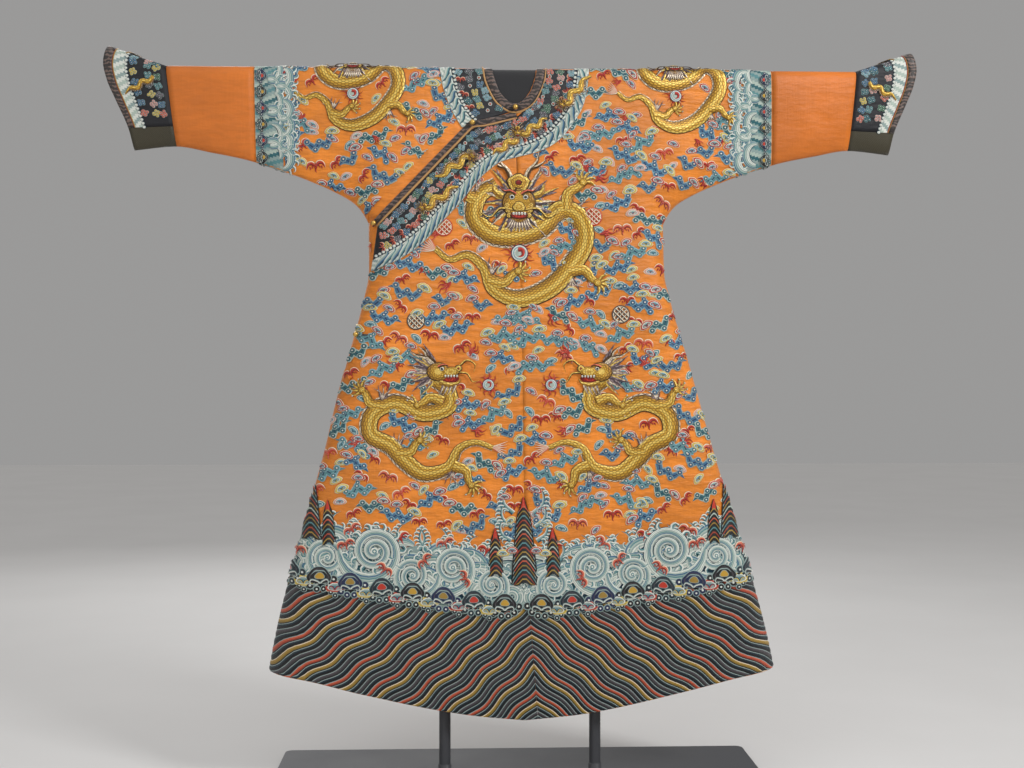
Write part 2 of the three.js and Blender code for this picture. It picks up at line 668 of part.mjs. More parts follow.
const knotRise = WALL + KNOT.rise + lapLift(KNOT.x, KNOT.z) + KNOT.thick / 2;
knot.translate(...knotSeat.point.addScaledVector(knotSeat.out, knotRise).toArray());
addMesh('knot_waist', knot, 'satin');

// ---------------------------------------------------------------- the stand

const form = robeMovedOut(shortSurface, -CLEAR, false);
const block = (fromX, toX, bottom) =>
  prism([[fromX, bottom], [toX, bottom], [toX, 1700], [fromX, 1700]], -200, 200, false);
addMesh('form_body', toGeometry(form.intersect(block(-FORM.half, FORM.half, FORM.bottom))), 'form');
addMesh('form_arm_left', toGeometry(form.intersect(block(FORM.half + GAP, ARM.end, ARM.bottom))), 'form');
addMesh('form_arm_right', toGeometry(form.intersect(block(-ARM.end, -FORM.half - GAP, ARM.bottom))), 'form');

const postHeight = FORM.bottom - GAP - (BASE.thick + GAP);
for (const [side, x] of [['left', POST.x], ['right', -POST.x]]) {
  const post = new THREE.CylinderGeometry(POST.radius, POST.radius, postHeight, 20);
  post.rotateX(Math.PI / 2);
  post.translate(x, 0, BASE.thick + GAP + postHeight / 2);
  addMesh(`post_${side}`, post, 'paint');
}
const base = new THREE.BoxGeometry(BASE.width, BASE.depth, BASE.thick);
base.translate(0, 0, BASE.thick / 2);
addMesh('base_plate', base, 'paint');

export default robe;
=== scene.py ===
"""A dragon robe on a display stand: its silk, embroidery, trimmings and stand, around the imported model."""

import math

import bmesh
import bpy
import numpy as np
from bpy.props import FloatProperty, FloatVectorProperty, IntProperty, PointerProperty
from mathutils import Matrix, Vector


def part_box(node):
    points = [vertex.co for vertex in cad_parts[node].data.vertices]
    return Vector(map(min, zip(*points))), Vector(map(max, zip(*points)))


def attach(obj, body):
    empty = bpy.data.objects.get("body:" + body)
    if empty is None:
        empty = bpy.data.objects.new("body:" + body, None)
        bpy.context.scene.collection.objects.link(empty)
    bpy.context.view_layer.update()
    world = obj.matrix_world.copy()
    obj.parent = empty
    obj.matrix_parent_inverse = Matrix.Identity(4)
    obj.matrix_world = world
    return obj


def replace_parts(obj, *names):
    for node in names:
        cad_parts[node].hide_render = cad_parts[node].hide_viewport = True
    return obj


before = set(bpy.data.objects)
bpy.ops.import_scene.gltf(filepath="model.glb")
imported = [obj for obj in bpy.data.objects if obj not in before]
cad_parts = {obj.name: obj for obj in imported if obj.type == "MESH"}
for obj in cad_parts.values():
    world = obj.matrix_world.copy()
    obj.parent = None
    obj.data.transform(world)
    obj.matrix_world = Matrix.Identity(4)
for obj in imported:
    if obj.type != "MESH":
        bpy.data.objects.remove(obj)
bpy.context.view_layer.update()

bl_info = {
    "name": "Dragon robe",
    "version": (1, 0, 0),
    "blender": (4, 5, 0),
    "location": "View3D > Sidebar > Robe",
    "description": "Builds the silk, embroidery and stand of a dragon robe around its packed model",
    "category": "Object",
}

MM = 0.001

# ---------------------------------------------------------------- the robe's own lines, in millimetres

SHOULDER = 1570.0  # the cloth's inner face on the shoulders
FOLD_RADIUS = 20.0
QUARTER = FOLD_RADIUS * math.pi / 2
LEAN = (-13.0, 8.0)  # how far the robe's middle strays at the shoulders and at the hem
CLOTH_RISE = 1.8  # the outer face of the silk, above the surface all pieces are worked from
BAND_RISE = 3.3  # of a band sewn on it
OVER_CLOUDS = 2.8  # of the dragons' lowest stitches
LIFT = 2.1  # how far the overlap rides on what lies under it
SHELL = 1.4  # the thickness of the silk as made
FINE_WELD = 0.00002  # metres

SIDE = [(60, 586), (257, 552), (340, 535), (490, 496), (740, 424), (930, 373), (1065, 335), (1125, 323),
        (1230, 322)]  # height, half width
UNDERARM = [(322, 1230), (333, 1251), (351, 1273), (382, 1293), (450, 1324), (522, 1350), (592, 1371),
            (662, 1385), (738, 1398), (829, 1389), (920, 1380)]
HEM = [(0, 152), (104, 162), (202, 178), (337, 208), (455, 238), (553, 257), (600, 266)]
CENTRE = [(100, 32), (455, 12), (708, 6), (965, 7), (1472, 0), (1600, 0)]  # height, the seam's place
LAPEL = [(0, 1472), (-69, 1454), (-100, 1450), (-313, 1231)]
SLEEVE_SEAM = 567.0
CUFF_SEAM = ((738, 1398), (757, 1570))
MOUTH = [(1389, 829), (1431, 838), (1494, 864), (1538, 882), (1574, 889), (1611, 881)]  # height, x
CUFF_HEAD = (881, 1611)
UNDER_BAND = ((700, 1440), (920, 1431))
STRIP = 9.0  # the underlap that shows beside the overlap
STRIP_END = 930.0
NECK_FRONT = [(0, 1488), (15, 1493), (34, 1514), (47, 1548), (51, 1570)]
NECK_BACK = [(0, 1552), (25, 1554), (45, 1560), (51, 1570)]
BAND_FRONT = [(0, 1472), (18, 1477), (42, 1497), (61, 1537), (67, 1570)]
BAND_BACK = [(0, 1536), (32, 1539), (60, 1549), (67, 1570)]
NECK_HALF = 51.0
ARMPIT = (322.0, 1230.0)  # x and height where the side fold meets the sleeve's lower edge
BAND_ENDS = (742, 840)  # x where the under band's upper edge meets the seam and the mouth
SEAM_GAP = 0.15  # left open on each side of a seam
STITCH_GAP = 0.2  # the same between the needlework of two halves
STRIP_TUCK = 45.0  # how far the strip beside the overlap starts below its end, out of sight
STRIP_REACH = 33.0  # how far it reaches in from the side fold
# The collar band, as rows across it: inner x and z, outer x and z.
COLLAR_LEFT = [
    (67, 1570, 164, 1570), (61, 1537, 157, 1519), (42, 1497, 145, 1478), (25, 1481, 117, 1435),
    (4, 1461, 86, 1403), (-20, 1451, 45, 1383), (-45, 1443, 3, 1372), (-69, 1438, -31, 1362),
    (-93, 1433, -58, 1344), (-128, 1397, -86, 1317), (-160, 1364, -124, 1270), (-190, 1333, -165, 1227),
    (-215, 1307, -196, 1192), (-245, 1276, -235, 1160), (-273, 1247, -273, 1139), (-300, 1219, -314, 1123),
]
COLLAR_RIGHT = [
    (-67, 1570, -164, 1570), (-61, 1537, -156, 1523), (-42, 1497, -141, 1480), (-18, 1479, -128, 1455),
    (-2, 1474, -117, 1436),
]
COLLAR_BACK = [(67, 1570, 164, 1570), (60, 1549, 152, 1522), (32, 1539, 108, 1480), (12, 1537, 52, 1463),
               (0, 1536, 0, 1458)]
COLLAR_BACK_RIGHT = [(-a, b, -c, d) for a, b, c, d in COLLAR_BACK]

# Soft folds of the cloth: side, x, z, turn from the X axis, length, width, height.
FOLDS = [
    ("front", -250, 1120, 60, 190, 52, 5), ("front", 255, 1110, -62, 200, 50, 6),
    ("front", 395, 1370, -35, 130, 45, 4), ("front", -400, 1375, 33, 140, 45, 4),
    ("front", -330, 520, 80, 420, 62, 7), ("front", 120, 470, -86, 380, 66, 6),
    ("front", 370, 500, -80, 400, 60, 7), ("back", -235, 1090, 64, 210, 50, 6),
    ("back", 240, 1130, -58, 180, 52, 5), ("back", -130, 480, 86, 400, 62, 7),
    ("back", 290, 520, -82, 420, 60, 7),
]
# Creases finer than those, with the same columns; a trough has a height below nought.
CREASES = [
    ("front", -205, 1000, 38, 120, 11, 1.8), ("front", -285, 1060, 71, 90, 10, -1.6),
    ("front", 222, 1015, -44, 130, 12, 2.0), ("front", 292, 1085, -70, 100, 9, -1.5),
    ("front", 150, 905, -24, 110, 13, 1.6), ("front", -120, 940, 18, 95, 10, -1.4),
    ("front", 330, 1300, -40, 110, 11, 2.2), ("front", 372, 1335, -31, 100, 10, -1.8),
    ("front", -338, 1302, 42, 105, 12, 2.1), ("front", -385, 1350, 30, 95, 9, -1.6),
    ("front", 640, 1470, -66, 80, 14, 1.8), ("front", 690, 1440, -58, 70, 11, -1.6),
    ("front", -622, 1475, 64, 85, 13, 1.9), ("front", -700, 1450, 57, 65, 11, -1.7),
    ("front", -210, 640, 84, 150, 12, -1.8), ("front", 40, 700, 87, 170, 10, 1.2),
    ("front", 255, 660, -83, 160, 12, -1.7), ("front", -420, 480, 77, 140, 14, -2.0),
    ("front", 455, 420, -76, 130, 13, -2.1), ("front", -60, 330, 88, 120, 12, 1.4),
    ("back", -190, 980, 41, 130, 12, 1.8), ("back", 215, 1030, -47, 120, 11, 1.9),
    ("back", 20, 1220, 86, 190, 12, -1.5), ("back", -330, 1310, 39, 110, 12, 2.0),
    ("back", 345, 1318, -37, 105, 10, 2.1), ("back", 630, 1468, -62, 80, 13, 1.8),
    ("back", -655, 1462, 61, 80, 13, 1.8), ("back", 90, 640, -85, 170, 12, -1.7),
    ("back", -290, 560, 81, 160, 13, -1.8), ("back", 420, 470, -77, 140, 13, -1.9),
    ("back", -10, 860, 12, 130, 12, 1.4),
]


# ---------------------------------------------------------------- settings


class RobeSizes(bpy.types.PropertyGroup):
    """Sizes of the needlework."""

    step: FloatProperty(name="Cloth step", description="Width of the cloth's quads", default=0.011,
                        unit="LENGTH")
    relief: FloatProperty(name="Relief", description="How far padded stitching stands up", default=1.0)
    stripe: FloatProperty(
        name="Stripe", description="Height of one wave stripe at the hem", default=0.0118, unit="LENGTH")
    spacing: FloatProperty(
        name="Cloud spacing", description="Least distance between two clouds", default=0.047, unit="LENGTH")
    seed: IntProperty(name="Seed", description="Chooses the scatter of the small motifs", default=7)


def colour_setting(name, red, green, blue):
    """A colour property from sRGB values of 0 to 255."""
    return FloatVectorProperty(
        name=name, description=f"Colour of the {name.lower()}", subtype="COLOR_GAMMA", size=3, min=0, max=1,
        default=(red / 255, green / 255, blue / 255))


class RobeColours(bpy.types.PropertyGroup):
    """Colours of the cloths."""

    satin: colour_setting("Orange satin", 224, 130, 34)
    plain: colour_setting("Plain sleeve satin", 208, 112, 28)
    dark: colour_setting("Dark collar silk", 16, 17, 24)
    border: colour_setting("Brocade border", 70, 56, 50)
    olive: colour_setting("Olive silk", 48, 42, 18)
    piping: colour_setting("Piping", 176, 132, 78)
    cord: colour_setting("Cord", 34, 26, 26)
    form: colour_setting("Form cover", 26, 26, 29)
    paint: colour_setting("Stand paint", 58, 59, 63)


# ---------------------------------------------------------------- numbers


def smooth(value, start, end):
    """Nought before start and one after end, with a smooth rise between: 3 t squared less 2 t cubed."""
    t = np.clip((value - start) / (end - start), 0, 1)
    return t * t * (3 - 2 * t)


def table(rows, at):
    """A smooth curve through a table of (key, value) rows, read at some keys.

    Each stretch is a cubic whose end slopes are the harmonic mean of the slopes on either side, so the
    curve never swings past its rows; beyond the ends it goes on straight."""
    keys, values = np.array(rows, float).T
    at = np.asarray(at, float)
    slopes = np.diff(values) / np.diff(keys)
    same = slopes[1:] * slopes[:-1] > 0
    total = np.where(same, slopes[1:] + slopes[:-1], 1)
    inner = np.where(same, 2 * slopes[1:] * slopes[:-1] / total, 0)
    ends = np.concatenate([[slopes[0]], inner, [slopes[-1]]])
    k = np.clip(np.searchsorted(keys, at) - 1, 0, len(slopes) - 1)
    width = keys[k + 1] - keys[k]
    t = (at - keys[k]) / width
    inside = np.clip(t, 0, 1)
    a, b = 1 - inside, inside
    cubic = (values[k] * (a * a * (1 + 2 * b)) + values[k + 1] * (b * b * (1 + 2 * a))
             + width * (ends[k] * a * a * b - ends[k + 1] * a * b * b))
    return cubic + (t - inside) * width * np.where(t < 0, ends[0], ends[-1])


def curve(points, count):
    """`count` points, evenly far apart, on a smooth curve through some points (a Catmull-Rom spline)."""
    given = np.array(points, float)
    padded = np.vstack([2 * given[0] - given[1], given, 2 * given[-1] - given[-2]])
    fine = np.linspace(0, len(given) - 1 - 1e-9, 24 * len(given))
    k = fine.astype(int)
    t = (fine - k)[:, None]
    p0, p1, p2, p3 = (padded[k + n] for n in range(4))
    line = 0.5 * (2 * p1 + (p2 - p0) * t + (2 * p0 - 5 * p1 + 4 * p2 - p3) * t**2
                  + (3 * p1 - p0 - 3 * p2 + p3) * t**3)
    run = np.concatenate([[0], np.cumsum(np.linalg.norm(np.diff(line, axis=0), axis=1))])
    even = np.linspace(0, run[-1], count)
    return np.stack([np.interp(even, run, line[:, c]) for c in range(line.shape[1])], axis=1)


def side_half(z):
    """Half the width between the side folds at height z."""
    return table(SIDE, z)


def hem_z(x):
    """The hem's height at x."""
    return table(HEM, np.abs(x))


def seam_x(z):
    """Where the centre seam lies at height z."""
    return table(CENTRE, z)


def underarm_z(x):
    """The height of the sleeve's lower edge at x."""
    return table(UNDERARM, np.abs(x))


def lapel_z(x):
    """The lapel's height at x, by straight lines between its corners."""
    rows = np.array(LAPEL[::-1], float)
    inside = np.interp(x, rows[:, 0], rows[:, 1])
    slope = (rows[1, 1] - rows[0, 1]) / (rows[1, 0] - rows[0, 0])
    return np.where(x < rows[0, 0], rows[0, 1] + (x - rows[0, 0]) * slope, inside)


def lapel_x(z):
    """The lapel's x at height z."""
    rows = np.array(LAPEL[::-1], float)
    return np.interp(z, rows[:, 1], rows[:, 0])


def edge_line():
    """The closed lower edge: the side fold upwards, then the sleeve's lower edge outwards, as points."""
    heights = np.linspace(60, 1229, 90)
    across = np.concatenate([np.linspace(322, 400, 20), np.linspace(408, 920, 50)])
    return np.vstack([np.stack([side_half(heights), heights], 1), np.stack([across, underarm_z(across)], 1)])


EDGE = edge_line()
EDGE_SLACK = 0.2  # within this of the line the front and the back meet, so the side folds close


def distance_to(line, x, z):
    """Distance from points to a line of straight stretches, and which stretch is nearest."""
    start, along = line[:-1], np.diff(line, axis=0)
    squared = (along**2).sum(1)
    best = np.full(x.shape, np.inf)
    nearest = np.zeros(x.shape, int)
    for k in range(len(start)):
        t = np.clip(((x - start[k, 0]) * along[k, 0] + (z - start[k, 1]) * along[k, 1]) / squared[k], 0, 1)
        away = np.hypot(x - start[k, 0] - t * along[k, 0], z - start[k, 1] - t * along[k, 1])
        nearer = away < best
        best = np.where(nearer, away, best)
        nearest = np.where(nearer, k, nearest)
    return best, nearest


# ---------------------------------------------------------------- the cloth's surface


def top_z(x):
    """The height of the fold: level over the shoulders, then rising to the cuff's upper corner."""
    rise = (CUFF_HEAD[1] - SHOULDER) / (CUFF_HEAD[0] - CUFF_SEAM[1][0])
    return SHOULDER + np.maximum(np.abs(x) - CUFF_SEAM[1][0], 0) * rise


def fold_v(x):
    """Where the fold lies on the chart, whose v is the height of the front, run on over the shoulder."""
    return top_z(x) + QUARTER - FOLD_RADIUS


def chart_v(x, z, side="front"):
    """The chart's v of a point of the front or back at height z: along the quarter circle of the fold,
    then straight down."""
    below = np.maximum(top_z(x) - z, 0)
    arc = FOLD_RADIUS * np.arccos(np.clip(1 - below / FOLD_RADIUS, -1, 1))
    run = np.where(below < FOLD_RADIUS, arc, QUARTER + below - FOLD_RADIUS)
    return fold_v(x) - run if side == "front" else fold_v(x) + run


def relief(rows, front, x, z):
    """What folds or creases add: for each a height times exp(-(along / length)^2 - (across / width)^2)."""
    total = np.zeros(x.shape)
    for side, at_x, at_z, turn, length, width, height in rows:
        cos, sin = math.cos(math.radians(turn)), math.sin(math.radians(turn))
        along = (x - at_x) * cos + (z - at_z) * sin
        across = (z - at_z) * cos - (x - at_x) * sin
        bell = height * np.exp(-((along / length) ** 2) - (across / width) ** 2)
        total += np.where(front == (side == "front"), bell, 0)
    return total


def roll(distance, radius):
    """A quarter circle: nought at the edge, one at `radius` from it."""
    return np.sqrt(1 - (1 - np.clip(distance / radius, 0, 1)) ** 2)


def on_cloth(x, v):
    """The robe's surface at chart points, in millimetres, and how far each lies from the closed edge.

    z goes down from the fold by a quarter circle of FOLD_RADIUS and then straight. The half depth grows from
    the fold's radius to 52 mm with the drop as 1 - exp(-drop / 300), shrinks to 12 mm in the sleeves, gains
    the folds and creases, and is closed by a quarter circle at the fold and one within 60 mm of the edge."""
    front = v < fold_v(x)
    run = np.abs(fold_v(x) - v)
    below = np.where(run < QUARTER, FOLD_RADIUS * (1 - np.cos(run / FOLD_RADIUS)),
                     FOLD_RADIUS + run - QUARTER)
    z = top_z(x) - below
    edge, nearest = distance_to(EDGE, np.abs(x), z)
    body = FOLD_RADIUS + 32 * (1 - np.exp(-below / 300))
    sleeve = FOLD_RADIUS - 8 * smooth(below, 40, 190)
    in_sleeve = smooth(np.abs(x), 250, 430) * smooth(z, 1160, 1300)
    depth = body + (sleeve - body) * in_sleeve + relief(FOLDS, front, x, z)
    depth = depth + relief(CREASES, front, x, z) * smooth(below, 10, 60)
    depth = depth * roll(below, FOLD_RADIUS) * roll(np.maximum(edge - EDGE_SLACK, 0), 60)
    lean = LEAN[0] + (LEAN[1] - LEAN[0]) * (SHOULDER - z) / (SHOULDER - HEM[0][1])
    return np.stack([x + lean, np.where(front, -depth, depth), z], -1), edge, nearest


def outward(x, v):
    """The direction out of the cloth: the cross product of the surface's slopes along x and v, and at
    the closed edge the direction square to that edge."""
    reach = 0.4
    to_x = on_cloth(x + reach, v)[0] - on_cloth(x - reach, v)[0]
    to_v = on_cloth(x, v + reach)[0] - on_cloth(x, v - reach)[0]
    out = np.cross(to_x, to_v)
    out /= np.maximum(np.linalg.norm(out, axis=-1, keepdims=True), 1e-9)
    _, edge, nearest = on_cloth(x, v)
    along = np.diff(EDGE, axis=0)[nearest]
    square = np.stack([along[..., 1] * np.sign(x + 1e-9), 0 * edge, -along[..., 0]], -1)
    square /= np.linalg.norm(square, axis=-1, keepdims=True)
    return np.where((edge < 0.8)[..., None], square, out)


LAP_LINE = np.array([*LAPEL, (-323, 1125), (-373, STRIP_END)], float)


def lap_lift(x, v):
    """How far the overlap is lifted: fully near its edges, fading from 100 to 210 mm away from them."""
    near = 1 - smooth(distance_to(LAP_LINE, x, v)[0], 100, 210)
    return LIFT * near * smooth(seam_x(v) - x, 0, 80)


def raised(x, v, rise, lifted=None):
    """Points `rise` above the surface in metres; with `lifted` unset, those on the overlap are lifted."""
    x, v = np.asarray(x, float), np.asarray(v, float)
    on_overlap = (v < lapel_z(x)) if lifted is None else np.full(x.shape, lifted)
    height = rise + np.where(on_overlap & (v < fold_v(x)), lap_lift(x, v), 0)
    out = outward(x, v)
    return (on_cloth(x, v)[0] + out * np.asarray(height)[..., None]) * MM, out


# ---------------------------------------------------------------- meshes


def grid_faces(rows, columns):
    """The quads of a grid of rows by columns points."""
    corner = np.arange((rows - 1) * (columns - 1))
    start = corner // (columns - 1) * columns + corner % (columns - 1)
    return np.stack([start, start + 1, start + columns + 1, start + columns], 1)


def ring_faces(rows, sides, closed=False):
    """The quads of rows of points that go once round; with `closed` the last row joins the first."""
    k, n = np.arange(rows if closed else rows - 1)[:, None], np.arange(sides)[None, :]
    after, below = (n + 1) % sides, (k + 1) % rows
    corners = [k * sides + n, k * sides + after, below * sides + after, below * sides + n]
    return np.stack(corners, 2).reshape(-1, 4)


def facing_out(points, faces, out):
    """The same quads, each turned so that it faces along the directions given at its corners."""
    a, b, c, d = (points[faces[:, n]] for n in range(4))
    facing = (np.cross(c - a, d - b) * out[faces].mean(1)).sum(1)
    return np.where((facing < 0)[:, None], faces[:, ::-1], faces)


def add_piece(name, mesh, material):
    """An object for a mesh, riding on the root body."""
    mesh.materials.append(material)
    piece = bpy.data.objects.new(name, mesh)
    bpy.context.scene.collection.objects.link(piece)
    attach(piece, "root")
    return piece


def new_object(name, points, faces, material):
    """A mesh object from arrays, riding on the root body, with smooth faces."""
    mesh = bpy.data.meshes.new(name)
    mesh.vertices.add(len(points))
    mesh.vertices.foreach_set("co", np.asarray(points, np.float32).ravel())
    count, sides = faces.shape
    mesh.loops.add(count * sides)
    mesh.loops.foreach_set("vertex_index", faces.astype(np.int32).ravel())
    mesh.polygons.add(count)
    mesh.polygons.foreach_set("loop_start", np.arange(0, count * sides, sides, dtype=np.int32))
    mesh.polygons.foreach_set("use_smooth", np.ones(count, bool))
    mesh.update(calc_edges=True)
    return add_piece(name, mesh, material)


def weld(piece, distance=0.00006, outwards=False):
    """Merges the points that coincide where a piece's grids meet, and if asked turns its faces outwards."""
    work = bmesh.new()
    work.from_mesh(piece.data)
    bmesh.ops.remove_doubles(work, verts=work.verts, dist=distance)
    bmesh.ops.dissolve_degenerate(work, edges=work.edges, dist=distance)
    if outwards:
        bmesh.ops.recalc_face_normals(work, faces=work.faces)
    work.to_mesh(piece.data)
    work.free()
    piece.data.update()


def shell(name, grids, material, replaces, rise=CLOTH_RISE, lifted=False, thickness=SHELL):
    """A cloth piece: grids of chart points (x, v), raised, joined, welded and given a thickness inwards."""
    points, faces, count = [], [], 0
    for x, v in grids:
        x, v = np.broadcast_arrays(x, v)
        at, out = raised(x, v, rise if np.isscalar(rise) else np.broadcast_to(rise, x.shape), lifted)
        flat, out = at.reshape(-1, 3), out.reshape(-1, 3)
        faces.append(facing_out(flat, grid_faces(*x.shape), out) + count)
        points.append(flat)
        count += len(flat)
    piece = new_object(name, np.vstack(points), np.vstack(faces), material)
    weld(piece)
    wall = piece.modifiers.new("Thickness", "SOLIDIFY")
    wall.thickness = thickness * MM
    wall.offset = -1
    wall.use_even_offset = False
    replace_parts(piece, *replaces)
    return piece


def swell(height, count, margin=0.1):
    """A rounded section across a band of `count` columns: height times the sine over half a turn."""
    return height * np.sin(np.linspace(margin, math.pi - margin, count))[None, :]


def steps(length):
    """How many stretches a grid takes along a length."""
    return max(3, int(round(length / (bpy.context.scene.robe_sizes.step / MM))))


def towards_edge(count):
    """Shares from 0 to 1, evenly apart and then ever closer before 1, as the cloth turns round there."""
    roll_share = 0.14
    turn = np.linspace(0, math.pi / 2, 9)[1:]
    return np.concatenate([np.linspace(0, 1 - roll_share, count), 1 - roll_share * (1 - np.sin(turn))])


def row_shares(count, near_low=True):
    """Shares up a column that ends in the shoulder's fold: closer together near the fold and the edge."""
    turn = np.linspace(0, math.pi / 2, 7)
    high = 1 - 0.10 * (1 - np.sin(turn))
    low = 0.12 * (1 - np.cos(turn)) if near_low else np.array([0.0, 0.06, 0.12])
    return np.concatenate([low, np.linspace(low[-1], high[0], count)[1:-1], high])


# ---------------------------------------------------------------- cloth pieces


def skirt_grid(sign, side):
    """The skirt from the middle to the side fold and from the hem to the armpit."""
    s = towards_edge(steps(400))[None, :]
    t = np.linspace(0, 1, steps(1050))[:, None]
    on_seam = float(side == "front")
    z = ARMPIT[1] + 0 * s * t
    for _ in range(3):
        x = seam_x(z) * on_seam * (1 - s) + sign * s * side_half(z)
        z = hem_z(x) + (ARMPIT[1] - hem_z(x)) * t
    x = (seam_x(z) * on_seam + sign * SEAM_GAP) * (1 - s) + sign * s * side_half(z)
    return x, chart_v(x, z, side)


def inner_grid(sign, side, low=None):
    """The upper body from the middle to the armpit's column, up to the neck or over to the fold."""
    s = towards_edge(steps(400))[None, :]
    middle = (seam_x(ARMPIT[1]) if side == "front" else 0.0) + sign * SEAM_GAP
    foot = middle * (1 - s) + sign * s * side_half(ARMPIT[1])
    neck = NECK_FRONT if side == "front" else NECK_BACK
    across = np.minimum(np.abs(foot), NECK_HALF)
    in_neck = np.abs(foot) < NECK_HALF
    top = np.where(in_neck, np.minimum(table(neck, across), SHOULDER), SHOULDER)
    low_v = chart_v(foot, ARMPIT[1] if low is None else low(foot), side)
    top_v = np.where(in_neck, chart_v(foot, top, side), fold_v(foot))
    t = row_shares(steps(300), False)[:, None]
    v = low_v + (top_v - low_v) * t
    return foot - (middle - sign * SEAM_GAP) * (1 - s) * t, v


def outer_grid(sign, side):
    """The upper body from the armpit's column to the sleeve's seam."""
    bend = ARMPIT[0] + 40
    x = sign * np.concatenate([ARMPIT[0] + 40 * np.linspace(0, 1, 6)[:-1] ** 1.4,
                               np.linspace(bend, SLEEVE_SEAM - SEAM_GAP, steps(205))])[None, :]
    low = chart_v(x, underarm_z(x), side)
    return x, low + (fold_v(x) - low) * row_shares(steps(300))[:, None]


def sleeve_grid(sign, side):
    """The sleeve extension, from its straight seam to the cuff's slanting one."""
    s = np.linspace(0, 1, steps(170))[None, :]
    t = row_shares(steps(170))[:, None]
    foot = SLEEVE_SEAM + SEAM_GAP + (CUFF_SEAM[0][0] - SLEEVE_SEAM - 2 * SEAM_GAP) * s
    x = sign * (foot + (CUFF_SEAM[1][0] - CUFF_SEAM[0][0]) * s * t)
    low = chart_v(x, underarm_z(sign * foot), side)
    return x, low + (fold_v(x) - low) * t


def band_top(x):
    """The height of the line between a cuff and its under band."""
    (near_x, near_z), (far_x, far_z) = UNDER_BAND
    return near_z + (far_z - near_z) * (x - near_x) / (far_x - near_x)


def cuff_grid(sign, side, start=0.0, end=1.0, above=True):
    """A cuff from share `start` to `end` of its width, above or below the under band's edge."""
    s = np.linspace(start, end, 12 if end - start > 0.5 else 5)[None, :]
    t = row_shares(12, not above)[:, None]
    (foot_x, foot_z), (head_x, head_z) = CUFF_SEAM
    inner, outer = (band_top(x) for x in BAND_ENDS)
    low_z, high_z = MOUTH[0][0], MOUTH[-1][0]
    if above:
        seam_z, mouth_z = inner + (head_z - inner) * t, outer + (high_z - outer) * t
    else:
        seam_z = foot_z + (inner - 2 * SEAM_GAP - foot_z) * t
        mouth_z = low_z + (outer - 2 * SEAM_GAP - low_z) * t
    seam = foot_x + SEAM_GAP + (head_x - foot_x) * (seam_z - foot_z) / (head_z - foot_z)
    mouth = table(MOUTH, mouth_z)
    x = sign * (seam + (mouth - seam) * s)
    z = seam_z + (mouth_z - seam_z) * s
    if not above:
        z = np.maximum(z, underarm_z(x))
    return x, chart_v(x, np.minimum(z, top_z(x)), side)


def overlap_x(z, s):
    """Across the overlap at height z: from its edge, s = 0, to the centre seam, s = 1."""
    width = side_half(z) - STRIP * smooth(z, STRIP_END - 30, STRIP_END)
    return -width * (1 - s) + (seam_x(z) - SEAM_GAP) * s


def overlap_grid():
    """The overlap: from its edge at the wearer's right to the centre seam, from the hem to the lapel."""
    corners = [z for _, z in LAPEL[::-1]]
    counts = (steps(219), 3, 7)
    heights = [np.linspace(low, high, count) for low, high, count in zip(corners, corners[1:], counts)]
    heights = np.concatenate([heights[0], heights[1][1:], heights[2][1:]])
    s = 1 - towards_edge(steps(400))[None, ::-1]
    t = np.linspace(0, 1, steps(1050))[:, None]
    z = corners[0] + 0 * s * t
    for _ in range(4):
        x = overlap_x(z, s)
        z = hem_z(x) + (corners[0] - hem_z(x)) * t
    x = overlap_x(z, s)
    upper_z = heights[:, None] + 0 * s
    seam = seam_x(upper_z) - SEAM_GAP
    upper_x = np.minimum(lapel_x(upper_z), seam) * (1 - s) + seam * s
    return [(x, chart_v(x, z)), (upper_x, chart_v(upper_x, upper_z))]


def underlap_low(x):
    """The lower edge of the right length's front: the lapel, less the margin beneath the overlap."""
    hidden = smooth(-x, 104, 112) * 25
    return np.maximum(lapel_z(x) + 0.4 - hidden, ARMPIT[1])


def strip_grid():
    """The underlap down the wearer's right side, of which a narrow strip shows."""
    s = 1 - towards_edge(3)[None, ::-1]
    z = np.linspace(STRIP_END - STRIP_TUCK, ARMPIT[1], steps(345))[:, None]
    x = -side_half(z) + STRIP_REACH * s
    return x + 0 * z, chart_v(x, z + 0 * x)


def band_grid(rows, side="front", count=60, across=9):
    """A band between an inner and an outer line, given as rows of inner x, z and outer x, z."""
    lines = curve(rows, count)
    s = np.linspace(0, 1, across)[None, :]
    x = lines[:, :1] + (lines[:, 2:3] - lines[:, :1]) * s
    z = lines[:, 1:2] + (lines[:, 3:4] - lines[:, 1:2]) * s
    return x, chart_v(x, np.minimum(z, SHOULDER), side)


def along_lapel(near, far):
    """A band beside the lapel's edge, between two distances below it."""
    line = np.array(LAPEL, float)
    ahead = np.diff(line, axis=0)
    ahead /= np.linalg.norm(ahead, axis=1, keepdims=True)
    mean = np.vstack([ahead[:1], ahead[1:] + ahead[:-1], ahead[-1:]])
    mean /= np.linalg.norm(mean, axis=1, keepdims=True)
    corners = np.hstack([line, -mean[:, 1:], mean[:, :1]])
    fine = np.linspace(0, len(line) - 1, 61)
    rows = np.stack([np.interp(fine, range(len(line)), corners[:, c]) for c in range(4)], 1)
    s = np.linspace(near, far, 7)[None, :]
    x = rows[:, :1] + rows[:, 2:3] * s
    z = rows[:, 1:2] + rows[:, 3:] * s
    return x, chart_v(x, z)


# ---------------------------------------------------------------- needlework, laid out in millimetres

